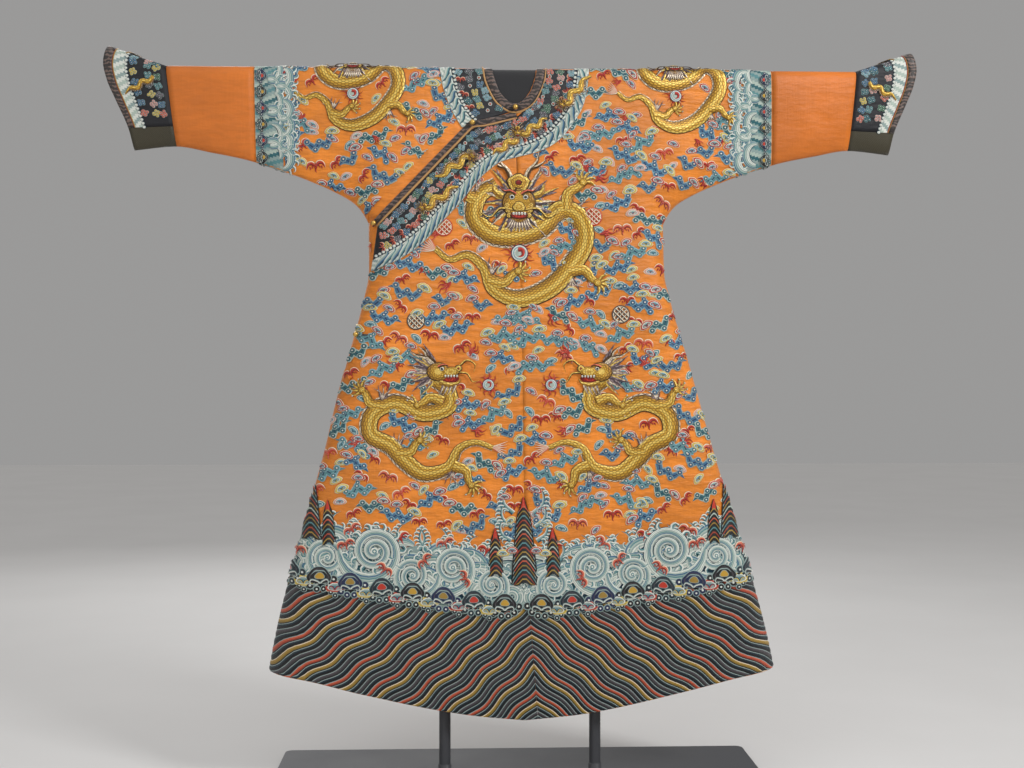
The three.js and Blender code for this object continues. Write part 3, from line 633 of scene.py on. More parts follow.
INK = {
    "navy": (20, 36, 78), "blue": (62, 110, 146), "sky": (140, 180, 190), "teal": (44, 104, 112),
    "sea": (92, 144, 148), "foam": (232, 236, 226), "celadon": (186, 202, 190), "mist": (150, 172, 168),
    "deep": (28, 66, 84), "slate": (66, 62, 64), "plum": (96, 84, 92), "black": (17, 18, 22),
    "yellow": (222, 196, 84), "ochre": (150, 120, 44), "red": (198, 70, 50), "crimson": (146, 32, 28),
    "coral": (224, 112, 84), "pink": (226, 168, 156), "cream": (238, 224, 196), "gold": (210, 164, 54),
    "light_gold": (244, 210, 104), "dark_gold": (172, 128, 42), "bronze": (84, 56, 20),
    "mane": (146, 128, 130), "green": (70, 116, 78), "flame": (206, 58, 36), "rust": (166, 66, 40),
    "coral_red": (204, 92, 60), "ash": (80, 74, 79), "night": (20, 42, 52), "old_gold": (172, 138, 58),
    # The pale grey of the line along each hem stripe's top edge, a painted highlight.
    "pebble_highlight": (152, 168, 164),
}
HORN = ("bronze", "cream")
GILT = ("dark_gold", "light_gold")
WHISKER = ("bronze", "light_gold")
BEARD = ("mane", "cream")
SURF = ("sea", "foam")
FIRE = ("crimson", "flame")
TAIL = ("coral", "cream")
BROW = ("bronze", "coral")
TOOTH = ("foam", "foam")
CLOUD_TONES = (("sky", "navy", "blue", "foam"), ("celadon", "deep", "teal", "foam"),
               ("sky", "navy", "sea", "foam"), ("mist", "navy", "blue", "cream"))


class Work:
    """Needlework: points of x, v and rise, quads, a colour for each quad, and each point's place along and
    across its own threads."""

    def __init__(self):
        self.points, self.faces, self.colours, self.threads = [], [], [], []
        self.count = 0

    def add(self, points, faces, colours, threads):
        self.points.append(points)
        self.faces.append(faces + self.count)
        self.colours.append(colours)
        self.threads.append(threads)
        self.count += len(points)
        return self

    def joined(self):
        return tuple(np.vstack(part) for part in (self.points, self.faces, self.colours, self.threads))

    def put(self, other, x=0.0, v=0.0, turn=0.0, scale=1.0, flip=1, rise=0.0):
        """Adds a copy of other work, mirrored if flip is -1, scaled, turned by degrees and moved."""
        points, faces, colours, threads = other.joined()
        cos, sin = scale * math.cos(math.radians(turn)), scale * math.sin(math.radians(turn))
        a, b = points[:, 0] * flip, points[:, 1]
        moved = np.stack([x + a * cos - b * sin, v + a * sin + b * cos, points[:, 2] + rise], 1)
        return self.add(moved, faces, colours, threads * scale)


def ribbon(path, half, columns, rises, colours):
    """A band carried along a path: at each point the columns lie across it at shares of its half width, with
    a rise for each column and a colour between each two."""
    path = np.asarray(path, float)
    half = np.broadcast_to(np.asarray(half, float), len(path))
    ahead = np.gradient(path, axis=0)
    ahead /= np.maximum(np.linalg.norm(ahead, axis=1, keepdims=True), 1e-9)
    side = np.stack([-ahead[:, 1], ahead[:, 0]], 1)
    columns, rises = np.asarray(columns, float), np.asarray(rises, float)
    spread = half[:, None] * columns[None, :]
    flat = path[:, None, :] + side[:, None, :] * spread[..., None]
    height = np.broadcast_to(rises, spread.shape) * np.minimum(half / half.max() + 0.25, 1)[:, None]
    points = np.concatenate([flat, height[..., None]], 2).reshape(-1, 3)
    run = np.concatenate([[0], np.cumsum(np.linalg.norm(np.diff(path, axis=0), axis=1))])
    threads = np.stack([np.broadcast_to(run[:, None], spread.shape), spread], 2).reshape(-1, 2)
    inks = np.array([INK[c] for c in colours], float)
    return Work().add(points, grid_faces(*spread.shape), np.tile(inks, (len(path) - 1, 1)), threads)


def disc(width, height, colours, rises, shares, sectors=8, lobes=0, depth=0.0):
    """Rings about a middle, from the outer one inwards; the radius swells `lobes` times by `depth`, and the
    innermost ring is closed by strips across it."""
    angle = 2 * math.pi * (np.arange(sectors) + 0.5) / sectors
    swell = 1 + depth * np.cos(lobes * (angle - math.pi / 2))
    share = np.array(shares, float)[:, None]
    x, y = width * share * swell * np.cos(angle), height * share * swell * np.sin(angle)
    rise = np.broadcast_to(np.array(rises, float)[:, None], x.shape)
    points = np.stack([x, y, rise], 2).reshape(-1, 3)
    bands = ring_faces(len(shares), sectors)
    n = np.arange(sectors // 2 - 1)
    last = (len(shares) - 1) * sectors
    cap = last + np.stack([n, n + 1, sectors - 2 - n, sectors - 1 - n], 1)
    inks = np.array([INK[c] for c in colours], float)
    tints = np.vstack([np.repeat(inks[:-1], sectors, 0), np.repeat(inks[-1:], len(cap), 0)])
    around = np.broadcast_to(angle * (width + height) / 2, x.shape)
    out = np.broadcast_to(share * (width + height) / 2, x.shape)
    return Work().add(points, np.vstack([bands, cap]), tints, np.stack([around, out], 2).reshape(-1, 2))


def bead(radius, tones, sectors=8):
    """A small curl: a pale outline, a dark ring, a mid ring and a light middle."""
    return disc(radius, radius, tones, (0.2, 1.0, 1.3, 1.4), (1, 0.76, 0.5, 0.26), sectors)


def lock(points, half, colours, count=12, rises=(0.3, 1.3, 0.3)):
    """A tapering stroke through some points, widest near its root."""
    line = curve(points, count)
    taper = half * np.minimum(1, 1.12 - np.linspace(0, 1, count) ** 1.6)
    return ribbon(line, taper, (-1, 0, 1), rises, colours)


def petal_head(core, outline="sky"):
    """A cloud head: a wide cap with a coloured rim round a pale lens, and two small curls in it."""
    head = disc(16.5, 8.8, ("cream", core, "foam", outline, "sea"), (0.2, 1.0, 1.5, 1.7, 1.8),
                (1, 0.9, 0.66, 0.54, 0.26), 12, 3, 0.10)
    for flip in (1, -1):
        head.put(lock([(0.2, -4.2), (3.0, 0.6), (7.8, 0.4), (7.4, -3.2), (4.8, -2.8)], 1.2,
                      (core, "navy"), 9, (0.2, 0.8, 0.2)), flip=flip, rise=1.6)
    return head


def cloud(count, bend, tones, core, branch):
    """A chain of curls: beads in a zigzag on a curved spine, a pointed tail, and a head at its end and,
    with a branch, one in the middle."""
    work = Work()
    step, zig = 12.6, 4.4
    n = np.arange(count)
    x = (n - (count - 1) / 2) * step
    y = zig * (-1.0) ** n + bend * (x / (step * count / 2)) ** 2
    nodes = np.stack([x, y], 1)
    spine = curve(np.vstack([nodes[0] - (16, 3), nodes]), 5 + 3 * count)
    half = 8.0 * np.minimum(1, np.linspace(0.06, 3.0, len(spine)))
    work.put(ribbon(spine, half, (-1, -0.72, -0.14, 0.14, 0.72, 1), (0.2, 0.9, 1.2, 1.2, 0.9, 0.2),
                    (tones[0], tones[2], tones[1], tones[2], tones[0])))
    for k in range(count):
        work.put(disc(7.6, 7.0, (tones[0], tones[2], tones[1], tones[3]), (0.2, 1.1, 1.3, 1.5),
                      (1, 0.74, 0.42, 0.26), 8),
                 x[k], y[k] + 3.6 * (-1) ** k, rise=0.7)
    work.put(petal_head(core, tones[0]), x[-1] + 8, y[-1] + 12, -14, rise=0.8)
    if branch:
        k = count // 2
        work.put(bead(5.2, tones), x[k] - 3, y[k] + 10, rise=0.5)
        work.put(petal_head("yellow" if core == "red" else "red", tones[0]), x[k] - 7, y[k] + 21, 12, 0.9,
                 rise=0.8)
    return work


def bat(dark, light):
    """A bat: two scalloped wings with pale upper edges, a body with ears and a tail."""
    work = Work()
    for flip in (1, -1):
        wing = ribbon(curve([(1, 1), (8, 8), (17, 6), (22, -5)], 12),
                      [2, 3.4, 4.4, 4.8, 4.8, 4.6, 4.2, 3.6, 3, 2.3, 1.4, .4],
                      (-1, -0.3, 0.55, 1), (0.3, 1.2, 1.4, 0.5), (dark, light, "cream"))
        work.put(wing, flip=flip)
        for x, y, turn in ((7, 2, -70), (13, 0, -82)):
            work.put(lock([(0, 0), (3.5, 1), (7, 0)], 2.0, (dark, light), 5), flip * x, y,
                     turn if flip > 0 else 180 - turn, rise=0.2)
        work.put(bead(2.3, (dark, light, dark, "cream"), 6), flip * 2.2, 5.4, rise=0.8)
    work.put(disc(3.6, 6.2, (dark, light, dark), (0.4, 1.6, 1.9), (1, 0.7, 0.35), 8), 0, 0, rise=0.4)
    work.put(lock([(0, -5), (-1.5, -10), (1, -14)], 1.8, (dark, light), 6), rise=0.3)
    return work


def flames(reach, count, start=0.0, sweep=360.0):
    """Forked tongues of flame round a middle."""
    work = Work()
    for k in range(count):
        turn = start + sweep * k / count
        length = reach * (0.8 + 0.35 * ((k * 7) % 5) / 4)
        work.put(lock([(0, 0), (length * 0.35, 4.5), (length * 0.65, -3.5), (length, 2.5)], 2.4,
                      FIRE, 12), turn=turn)
        work.put(lock([(length * 0.35, 4), (length * 0.6, 8), (length * 0.8, 5)], 1.6,
                      ("flame", "coral"), 8), turn=turn, rise=0.1)
    return work


def pearl(radius):
    """A flaming pearl: a pale ball with blue rings and a red comma."""
    work = Work()
    work.put(flames(radius * 2.1, 9, 10), rise=0.2)
    work.put(disc(radius, radius, ("navy", "foam", "sky", "foam", "celadon"), (0.6, 2.0, 2.4, 2.8, 3.0),
                  (1, 0.9, 0.76, 0.62, 0.5), 20), rise=0.6)
    work.put(lock([(-2, 5), (4, 4), (4, -3), (-2, -5)], radius * 0.16, FIRE, 10), scale=radius / 12,
             rise=3.4)
    return work


# ---------------------------------------------------------------- dragons

BODY_COLUMNS = (-1.30, -1.10, -1.0, -0.62, -0.2, 0.25, 0.62, 0.92, 1.05)
BODY_RISES = (0.3, 0.9, 1.0, 2.2, 3.0, 3.0, 2.3, 1.3, 0.4)
# Across the body, between its columns: the light gold band along the crest is a painted highlight and the
# dark gold band along one side painted shade; the cream fringe, the bronze outlines and the light gold belly
# are the threads' own colours.
BODY_INKS_WITH_PAINTED_LIGHT = ("cream", "bronze", "dark_gold", "gold", "light_gold", "gold", "light_gold", "bronze")
CHEST_BODY = [(-46, 30), (-84, 6), (-96, -38), (-62, -74), (-8, -80), (46, -62), (92, -22), (132, -40),
              (142, -92), (112, -146), (62, -196), (-4, -218), (-58, -196), (-78, -150), (-112, -122),
              (-152, -132), (-184, -108)]
SIDE_BODY = [(-14, -8), (22, -34), (20, -70), (-34, -84), (-92, -62), (-140, -84), (-146, -128),
             (-104, -152), (-74, -184), (-34, -212), (18, -200), (42, -160), (78, -146), (116, -158)]


def body(path, wide, thin):
    """A dragon's body: full through most of its length, thin at the neck and running out to the tail."""
    line = curve(path, 9 * len(path))
    t = np.linspace(0, 1, len(line))
    half = wide * np.clip(0.72 + 2.2 * t, 0, 1) * (1 - smooth(t, 0.62, 1.0)) + thin * smooth(t, 0.62, 1.0)
    work = ribbon(line, half, BODY_COLUMNS, BODY_RISES, BODY_INKS_WITH_PAINTED_LIGHT)
    ahead = np.gradient(line, axis=0)
    side = np.degrees(np.arctan2(ahead[:, 1], ahead[:, 0]))
    for k in range(3, len(line) - 3, 2):
        across = np.array([-ahead[k, 1], ahead[k, 0]]) / np.linalg.norm(ahead[k])
        foot = line[k] - across * half[k] * 1.05
        work.put(lock([(0, 0), (2.5, -2.4), (5.5, -3.4)], 1.5, HORN, 4), *foot, side[k], half[k] / wide,
                 rise=0.7)
    return work


def paw(length, bend):
    """A leg with its tuft and five claws; it points along +X."""
    work = Work()
    for k in range(7):
        work.put(lock([(0, 0), (14, 3 * (k % 3 - 1)), (25 + 3 * (k % 2), 2 * (k - 3))], 1.6,
                      ("mane", "plum" if k % 2 else "cream"), 8), 6, -4, -118 + 14 * k, rise=0.2)
    leg = curve([(0, 0), (length * 0.45, bend), (length * 0.8, bend * 0.2), (length, 0)], 16)
    work.put(ribbon(leg, np.linspace(9.5, 5.0, 16), BODY_COLUMNS[1:], BODY_RISES[1:], BODY_INKS_WITH_PAINTED_LIGHT[1:]),
             rise=0.4)
    for k in range(5):
        spread = (k - 2) * 36
        claw = lock([(0, 0), (8, 1.5), (14, 0.5), (19, -3.5)], 2.7, GILT, 9, (0.5, 2.0, 0.5))
        work.put(claw, length + 1, 0, spread, rise=0.6)
        tip = (length + 17.5 * math.cos(math.radians(spread)), 17.5 * math.sin(math.radians(spread)))
        work.put(bead(1.7, ("bronze", "foam", "foam", "foam"), 6), *tip, rise=1.0)
    work.put(disc(6.6, 6.2, ("bronze", "gold", "light_gold"), (0.6, 2.6, 3.0), (1, 0.82, 0.4), 10), length,
             0, rise=0.8)
    return work


def eye(radius):
    """A white ball with a black pupil."""
    return disc(radius, radius * 0.86, ("bronze", "foam", "black", "black"), (0.8, 2.0, 2.4, 2.6),
                (1, 0.82, 0.5, 0.2), 12)


def front_head():
    """A dragon's head seen from the front, chin at the bottom."""
    work = Work()
    for k in range(38):
        turn = -78 + 336 * k / 37
        if 66 < turn < 114:
            continue
        reach = 46 + 14 * ((k * 5) % 4) / 3
        work.put(lock([(14, 0), (28, 3 * (-1) ** k), (reach, 2 * (-1) ** k)], 3.8,
                      (("mane", "plum")[k % 2], ("cream", "mane", "light_gold")[k % 3]), 9), 0, 2, turn,
                 rise=0.1 + 0.2 * (k % 2))
    for flip in (1, -1):
        work.put(lock([(9, 30), (15, 46), (26, 58), (30, 74)], 3.6, HORN, 12, (0.6, 2.2, 0.6)),
                 flip=flip, rise=0.9)
        work.put(lock([(19, 50), (30, 54), (40, 62)], 2.5, HORN, 8, (0.6, 2.0, 0.6)), flip=flip, rise=0.9)
        work.put(lock([(22, 10), (33, 16), (36, 28)], 4.6, GILT, 8, (0.6, 2.4, 0.6)),
                 flip=flip, rise=0.7)
    work.put(disc(23, 28, ("bronze", "dark_gold", "gold", "gold"), (0.8, 2.4, 3.4, 3.8),
                  (1, 0.92, 0.66, 0.3), 20, 4, 0.06), 0, 0, rise=0.8)
    work.put(disc(17, 13, ("bronze", "light_gold", "dark_gold", "gold", "bronze", "crimson"),
                  (1.5, 3.6, 3.4, 4.2, 4.2, 4.6), (1, 0.88, 0.66, 0.56, 0.30, 0.22), 16, 5, 0.08), 0, 29,
             rise=0.8)
    for n in range(3):
        work.put(lock([(-9 + 2 * n, 0), (0, 4.5 - n), (9 - 2 * n, 0)], 1.1, ("bronze", "bronze"), 9),
                 0, 14 + 3.4 * n, rise=3.9)
    for flip in (1, -1):
        work.put(lock([(4, 12), (11, 17), (20, 17), (27, 23)], 2.3, BROW, 12, (1.5, 3.0, 1.5)), flip=flip,
                 rise=3.2)
        work.put(eye(4.5), flip * 9.5, 8.5, rise=3.2)
        for n in range(3):
            work.put(bead(4.4, ("bronze", "light_gold", "dark_gold", "light_gold")), flip * (17 - 1.5 * n),
                     -3 - 7.0 * n, rise=3.2)
        work.put(lock([(5, -10), (26, -8), (40, -20), (54, -12), (50, -2)], 1.9, WHISKER, 22,
                      (0.8, 2.2, 0.8)), flip=flip, rise=3.0)
        work.put(bead(2.6, ("bronze", "light_gold", "crimson", "crimson"), 8), flip * 4.2, -8, rise=5.4)
    work.put(disc(9.5, 7.4, ("bronze", "light_gold", "gold", "light_gold"), (1.5, 3.2, 3.8, 4.0),
                  (1, 0.86, 0.5, 0.25), 14, 3, 0.12), 0, -5, rise=3.2)
    work.put(disc(14, 5.6, ("bronze", "crimson", "flame", "crimson"), (1.0, 2.4, 2.2, 1.8),
                  (1, 0.8, 0.5, 0.25), 14), 0, -17, rise=3.0)
    for n in range(-2, 3):
        work.put(disc(1.8, 2.3, TOOTH, (0.5, 1.0), (1, 0.5), 6), n * 3.9, -14.6, rise=5.2)
    for n in range(-4, 5):
        work.put(lock([(0, 0), (1.2 * n, -9), (2.4 * n, -18 + abs(n))], 2.2, BEARD, 7), 2.6 * n, -22,
                 rise=2.2)
    return work


def side_head():
    """A dragon's head in profile, looking along +X."""
    work = Work()
    for k in range(15):
        turn = 112 + 116 * k / 14
        reach = 40 + 9 * ((k * 5) % 3) / 2
        work.put(lock([(8, 0), (22, 4 * (-1) ** k), (reach, 3 * (-1) ** k)], 3.0,
                      ("mane", ("cream", "plum", "light_gold")[k % 3]), 9), 0, 2, turn, rise=0.1)
    work.put(lock([(-2, 12), (-14, 24), (-32, 28), (-44, 36)], 3.6, HORN, 12, (0.6, 2.2, 0.6)), rise=1.0)
    work.put(lock([(-16, 24), (-20, 34), (-30, 42)], 2.4, HORN, 8, (0.6, 2.0, 0.6)), rise=1.0)
    work.put(lock([(2, -12), (16, -17), (30, -14), (34, -8)], 4.2, GILT, 12, (0.8, 2.6, 0.8)), rise=1.2)
    work.put(disc(15, 6.5, ("crimson", "flame", "crimson"), (1.0, 2.0, 1.8), (1, 0.6, 0.3), 14), 17, -7,
             rise=1.2)
    work.put(disc(18, 15, ("bronze", "dark_gold", "gold", "light_gold"), (1.0, 2.6, 3.4, 3.6),
                  (1, 0.9, 0.62, 0.3), 18), 0, 3, rise=1.0)
    work.put(disc(15, 7.6, ("bronze", "gold", "light_gold", "gold"), (1.0, 2.8, 3.4, 3.5),
                  (1, 0.86, 0.55, 0.25), 14), 19, 3, 6, rise=1.6)
    work.put(disc(6.2, 5.6, ("bronze", "light_gold", "crimson"), (1.2, 3.4, 3.4), (1, 0.75, 0.3), 10), 31, 8,
             rise=1.8)
    for n in range(5):
        work.put(disc(1.6, 2.2, TOOTH, (0.5, 1.0), (1, 0.5), 6), 11 + 4.4 * n, -3.6, rise=4.4)
    work.put(lock([(0, 9), (7, 13), (16, 12)], 2.3, BROW, 9, (1.5, 3.0, 1.5)), rise=3.0)
    work.put(eye(3.9), 6, 7.0, rise=3.4)
    work.put(lock([(31, 10), (44, 20), (56, 14), (54, 2)], 1.6, WHISKER, 18, (0.8, 2.0, 0.8)), rise=2.0)
    work.put(lock([(30, 2), (44, 0), (52, -12), (62, -10)], 1.5, WHISKER, 16, (0.8, 2.0, 0.8)), rise=2.0)
    for n in range(4):
        work.put(lock([(0, 0), (-3, -9), (-7, -16)], 2.2, BEARD, 7), 8 + 6 * n, -16, rise=1.4)
    return work


def chest_dragon():
    """The frontal dragon: its body coils round below its head and holds a pearl in the bend."""
    gold, silk = Work(), Work()
    gold.put(body(CHEST_BODY, 20, 6))
    for x, v, turn, flip, size in ((-92, -2, 128, 1, 1.0), (104, -22, 58, 1, 1.0), (-70, -176, 196, -1, 1.0),
                                   (104, -156, -22, 1, 1.0)):
        gold.put(paw(46, 10), x, v, turn, 1.5 * size, flip, rise=0.3)
    gold.put(front_head(), 0, -10, 0, 1.55, rise=1.8)
    for n in range(7):
        silk.put(lock([(0, 0), (-16, 4 * (n - 3)), (-36, 7 * (n - 3))], 2.6, TAIL, 9), -182, -110, -26,
                 rise=0.5)
    silk.put(pearl(19), 0, -118)
    for x, v, turn in ((-150, 50, 150), (-170, -70, 190), (168, 40, 20), (176, -76, -10), (60, -250, -60),
                       (-150, -180, 205), (150, 60, 80)):
        silk.put(flames(34, 3, turn - 20, 60), x, v)
    return gold, silk


def side_dragon():
    """The dragon in profile, looking along +X at a pearl."""
    gold, silk = Work(), Work()
    gold.put(body(SIDE_BODY, 17, 5.5))
    for x, v, turn, flip in ((10, -58, 8, -1), (-118, -68, 142, 1), (-92, -168, 208, -1),
                             (30, -196, -48, 1)):
        gold.put(paw(42, 9), x, v, turn, 1.35, flip, rise=0.3)
    gold.put(side_head(), 0, 2, 0, 1.42, rise=1.6)
    for n in range(6):
        silk.put(lock([(0, 0), (15, 3 * (n - 2.5)), (32, 7 * (n - 2.5))], 2.3, TAIL, 9), 114, -157, -8,
                 rise=0.5)
    silk.put(pearl(13), 108, -22)
    for x, v, turn in ((-86, 20, 120), (-152, -30, 160), (70, 40, 50), (-170, -140, 190), (70, -120, -20)):
        silk.put(flames(30, 3, turn - 20, 60), x, v)
    return gold, silk


# ---------------------------------------------------------------- the hem: stripes, waves and mountains


def waterline(x):
    """The height of the row of heads between the stripes and the sea, higher towards the sides."""
    return 392 + 72 * (np.abs(x) / 480) ** 1.3


# The stripes from the hem upwards: lower and upper colour, the lower one darker as painted shade, and the
# pale line along the top edge, a painted highlight.
STRIPE_INKS_WITH_PAINTED_LIGHT = (("rust", "coral_red", "pebble_highlight"), ("black", "night", "pebble_highlight"), ("slate", "ash", "pebble_highlight"),
               ("black", "night", "pebble_highlight"), ("ochre", "old_gold", "cream"), ("black", "night", "pebble_highlight"))
STRIPE_ROWS = (0.0, 0.20, 0.50, 0.84)
STRIPE_TURN = math.radians(38)


def hem_stripes(sign, side):
    """The wave stripes of one half of one side. With a the distance from the middle, stripe c runs along
    z = c - 0.93 a + 0.00036 a^2 + 4.8 sin(2 pi (a cos 38 - z sin 38) / 98), so each is the one below it moved
    square to its own length; the hem cuts them off below and the sea above."""
    columns = towards_edge(92)
    pitch = bpy.context.scene.robe_sizes.stripe / MM
    count = int(830 / pitch)
    rows = np.array([k + share for k in range(count) for share in STRIPE_ROWS] + [count])
    base = 140 + rows[None, :] * pitch
    s = columns[:, None]
    z = base + 0 * s
    for _ in range(9):
        middle = seam_x(np.clip(z, 100, 500)) * (side == "front")
        x = middle * (1 - s) + sign * s * side_half(np.clip(z, 150, 480))
        away = np.abs(x - middle)
        along = away * math.cos(STRIPE_TURN) - z * math.sin(STRIPE_TURN)
        z = base - 0.93 * away + 0.00036 * away**2 + 4.8 * np.sin(along / 98 * 2 * math.pi)
    z = np.clip(z, hem_z(x) + 0.6, waterline(x) + 8)
    x = (middle + sign * STITCH_GAP) * (1 - s) + sign * s * side_half(z)
    profile = np.array([0.15, 0.7, 1.6, 1.0])
    rise = np.broadcast_to(np.append(np.tile(profile, count), 0.15)[None, :], z.shape)
    points = np.stack([x, z, rise], 2)
    height = z[:, 1:] - z[:, :-1]
    kept = (np.maximum(height[1:], height[:-1]) > 0.25).ravel()
    # Each stripe begins with a black band along its lower edge, a painted shadow, and ends with its pale top
    # line, a painted highlight.
    inks = [INK[ink] for k in range(count) for ink in ("black", *STRIPE_INKS_WITH_PAINTED_LIGHT[k % len(STRIPE_INKS_WITH_PAINTED_LIGHT)])]
    colours = np.tile(np.array(inks, float), (len(columns) - 1, 1))
    threads = np.stack([x * 1.3, z], 2).reshape(-1, 2)
    used, order = np.unique(grid_faces(*z.shape)[kept], return_inverse=True)
    return Work().add(points.reshape(-1, 3)[used], order.reshape(-1, 4), colours[kept], threads[used])


def wave_dome(radius, tones):
    """A rounded wave: rings of pale stitching about a curl."""
    n = len(tones)
    rises = np.linspace(0.3, min(2.2, radius / 8), n)
    return disc(radius, radius, tones, rises, np.linspace(1, 0.14, n) ** 0.9, 26 if radius > 15 else 14)


def foam_crest(radius, start, sweep, count):
    """White hooks along an arc, each a small tapering curl."""
    work = Work()
    for k in range(count):
        turn = start + sweep * k / max(count - 1, 1)
        place = (radius * math.cos(math.radians(turn)), radius * math.sin(math.radians(turn)))
        work.put(lock([(-1, -3), (4, -2), (6, 2), (3, 4)], 2.2, ("mist", "foam"), 7), *place, turn)
    return work


STRANDS = ("deep", "foam", "celadon", "foam", "mist", "celadon", "sea", "mist", "blue", "celadon", "foam",
           "mist")


def hooks(work, path, half, places, size=1.0):
    """Adds white hooks on the left of a path, each at a place along it and square to it."""
    ahead = np.gradient(path, axis=0)
    turn = np.degrees(np.arctan2(ahead[:, 1], ahead[:, 0]))
    left = np.stack([-ahead[:, 1], ahead[:, 0]], 1) / np.linalg.norm(ahead, axis=1, keepdims=True)
    for k in places:
        work.put(lock([(0, -2), (-1, 4), (4, 8), (8, 5)], 2.7, SURF, 7),
                 *(path[k] + left[k] * half[k] * 0.96),
                 turn[k], size, rise=1.3)


def roller(radius):
    """A breaking wave: a broad bundle of strands that sweeps over and winds into a spiral of
    r = R (1 - 0.84 t), opening out for t below nought, with white hooks on its back."""
    t = np.linspace(-0.34, 1, 54)
    tail = np.minimum(t, 0)
    out = radius * (1 - 0.84 * t + 5.0 * tail**2)
    turn = 2.75 - 11.6 * t
    path = np.stack([out * np.cos(turn), out * np.sin(turn) - 2.6 * radius * tail**2], 1)
    half = radius * (0.225 - 0.06 * np.maximum(t, 0) + 0.75 * np.abs(tail)) * np.minimum(1, 6 * (t + 0.38))
    columns = np.linspace(-1, 1, 13)
    work = ribbon(path, half, columns, 0.3 + 1.7 * (1 - columns**4), STRANDS[::-1])
    work.points[0][:, 2] += np.repeat(1.4 * (t + 0.34), 13)
    work.put(disc(radius * 0.19, radius * 0.19, ("foam", "sea", "foam"), (0.5, 1.0, 1.2), (1, 0.6, 0.3), 10),
             rise=2.2)
    hooks(work, path, half, range(4, 34, 2), radius / 32)
    return work


def surge(radius, sweep, width):
    """A rolling wave: pale strands side by side along an arc, with white hooks on its outer side."""
    turn = np.radians(np.linspace(196, 196 - sweep, 18))
    path = np.stack([radius * np.cos(turn) * 1.15, radius * np.sin(turn)], 1)
    half = width * np.sin(np.linspace(0.35, math.pi - 0.12, 18)) ** 0.6
    columns = np.linspace(-1, 1, 11)
    work = ribbon(path, half, columns, 0.25 + 1.75 * (1 - columns**4), STRANDS[:10])
    ahead = np.degrees(np.arctan2(*np.gradient(path, axis=0).T[::-1]))
    for k in range(4, 16, 2):
        work.put(lock([(0, -1), (1, 5), (6, 8), (9, 5)], 2.6, SURF, 7),
                 *path[k] * (1 + half[k] * 0.85 / radius),
                 ahead[k], rise=1.2)
    return work


def spray(length, flip):
    """A frond of spray: a thick stem of grey-green strands with a comb of white hooks on one side."""
    work = Work()
    line = curve([(0, 0), (length * 0.22, length * 0.42), (length * 0.12, length * 0.8),
                  (-length * 0.16, length)], 16)
    work.put(ribbon(line, 5.4 * (1.03 - np.linspace(0, 1, 16) ** 1.3), (-1, -0.5, 0.1, 0.6, 1),
                    (0.3, 1.2, 1.5, 1.2, 0.3),
                    ("deep", "sea", "mist", "foam")), flip=flip)
    for k in np.arange(2, 15, 6.6 / length * 16):
        at = line[int(k)]
        work.put(lock([(0, 0), (5, 3), (10, 1), (10, -4)], 2.5, SURF, 8), flip * (at[0] + 3.0), at[1],
                 flip=flip, rise=0.6)
    return work


def water_head(core, ground):
    """A big cloud head in dark silk: a lobed cap with pale contour lines over a coloured core, a fringe of
    dark curls below, and two spirals that meet in the middle."""
    work = Work()
    curl = ("mist", ground, ground, "foam")
    for x, y, r in ((-24, -3, 7.6), (24, -3, 7.6), (-16, -13, 7.2), (16, -13, 7.2), (-6, -19, 6.4),
                    (6, -19, 6.4)):
        work.put(bead(r, curl, 10), x, y, rise=0.3)
    work.put(disc(21, 15, ("mist", ground, "ash", ground, "mist", core), (0.6, 2.2, 2.2, 2.4, 2.6, 2.8),
                  (1, 0.93, 0.74, 0.68, 0.40, 0.34), 20, 3, 0.12), 0, 3, rise=0.5)
    for flip in (1, -1):
        work.put(lock([(0, -9), (5, -5), (13, -3), (16, -9), (11, -12), (9, -8)], 1.4, ("foam", "mist"), 16,
                      (0.3, 0.9, 0.3)), flip=flip, rise=2.9)
        work.put(lock([(0, 12), (7, 11), (13, 5)], 1.0, ("mist", "mist"), 9, (0.3, 0.7, 0.3)), flip=flip,
                 rise=3.0)
    return work


def mountain(width, height):
    """A peak: nested chevrons, each a thin coloured line between dark bands, with a red tip."""
    lines = ("old_gold", "rust", "sea", "ochre", "coral_red", "celadon")
    pairs = max(6, int(height / 9.5))
    steps_up = np.sort(np.concatenate([np.arange(pairs) + 0.0, np.arange(pairs) + 0.66, [pairs]])) / pairs
    t = steps_up[:, None]
    s = np.array([-1.12, -1, -0.86, -0.5, -0.16, 0.16, 0.5, 0.86, 1, 1.12])[None, :]
    half = width * (1 - 0.62 * t**1.6) * (1 - 0.75 * smooth(t, 0.86, 1.0))
    y = np.maximum(t * height - np.abs(s) ** 1.5 * half * 1.2, -8)
    x = half * s + 0 * t
    rise = np.broadcast_to(1.4 + 1.3 * (1 - np.clip(np.abs(s), 0, 1) ** 2) - 0.9 * (np.abs(s) > 1.1),
                           x.shape)
    colours = np.zeros((len(t) - 1, 9, 3))
    for k in range(len(t) - 1):
        colours[k] = INK["black"] if k % 2 == 0 else INK[lines[k // 2 % len(lines)]]
        colours[k, (0, -1)] = INK["black"]
        colours[k, (1, -2)] = INK["mist" if k % 2 else "black"]
        if k >= len(t) - 5:
            colours[k] = INK["black"]
            colours[k, 3:6] = INK["flame"]
    threads = np.stack([np.broadcast_to(t * height, x.shape), x], 2).reshape(-1, 2)
    return Work().add(np.stack([x, y, rise], 2).reshape(-1, 3), grid_faces(*x.shape), colours.reshape(-1, 3),
                      threads)


# ---------------------------------------------------------------- laying needlework on the cloth

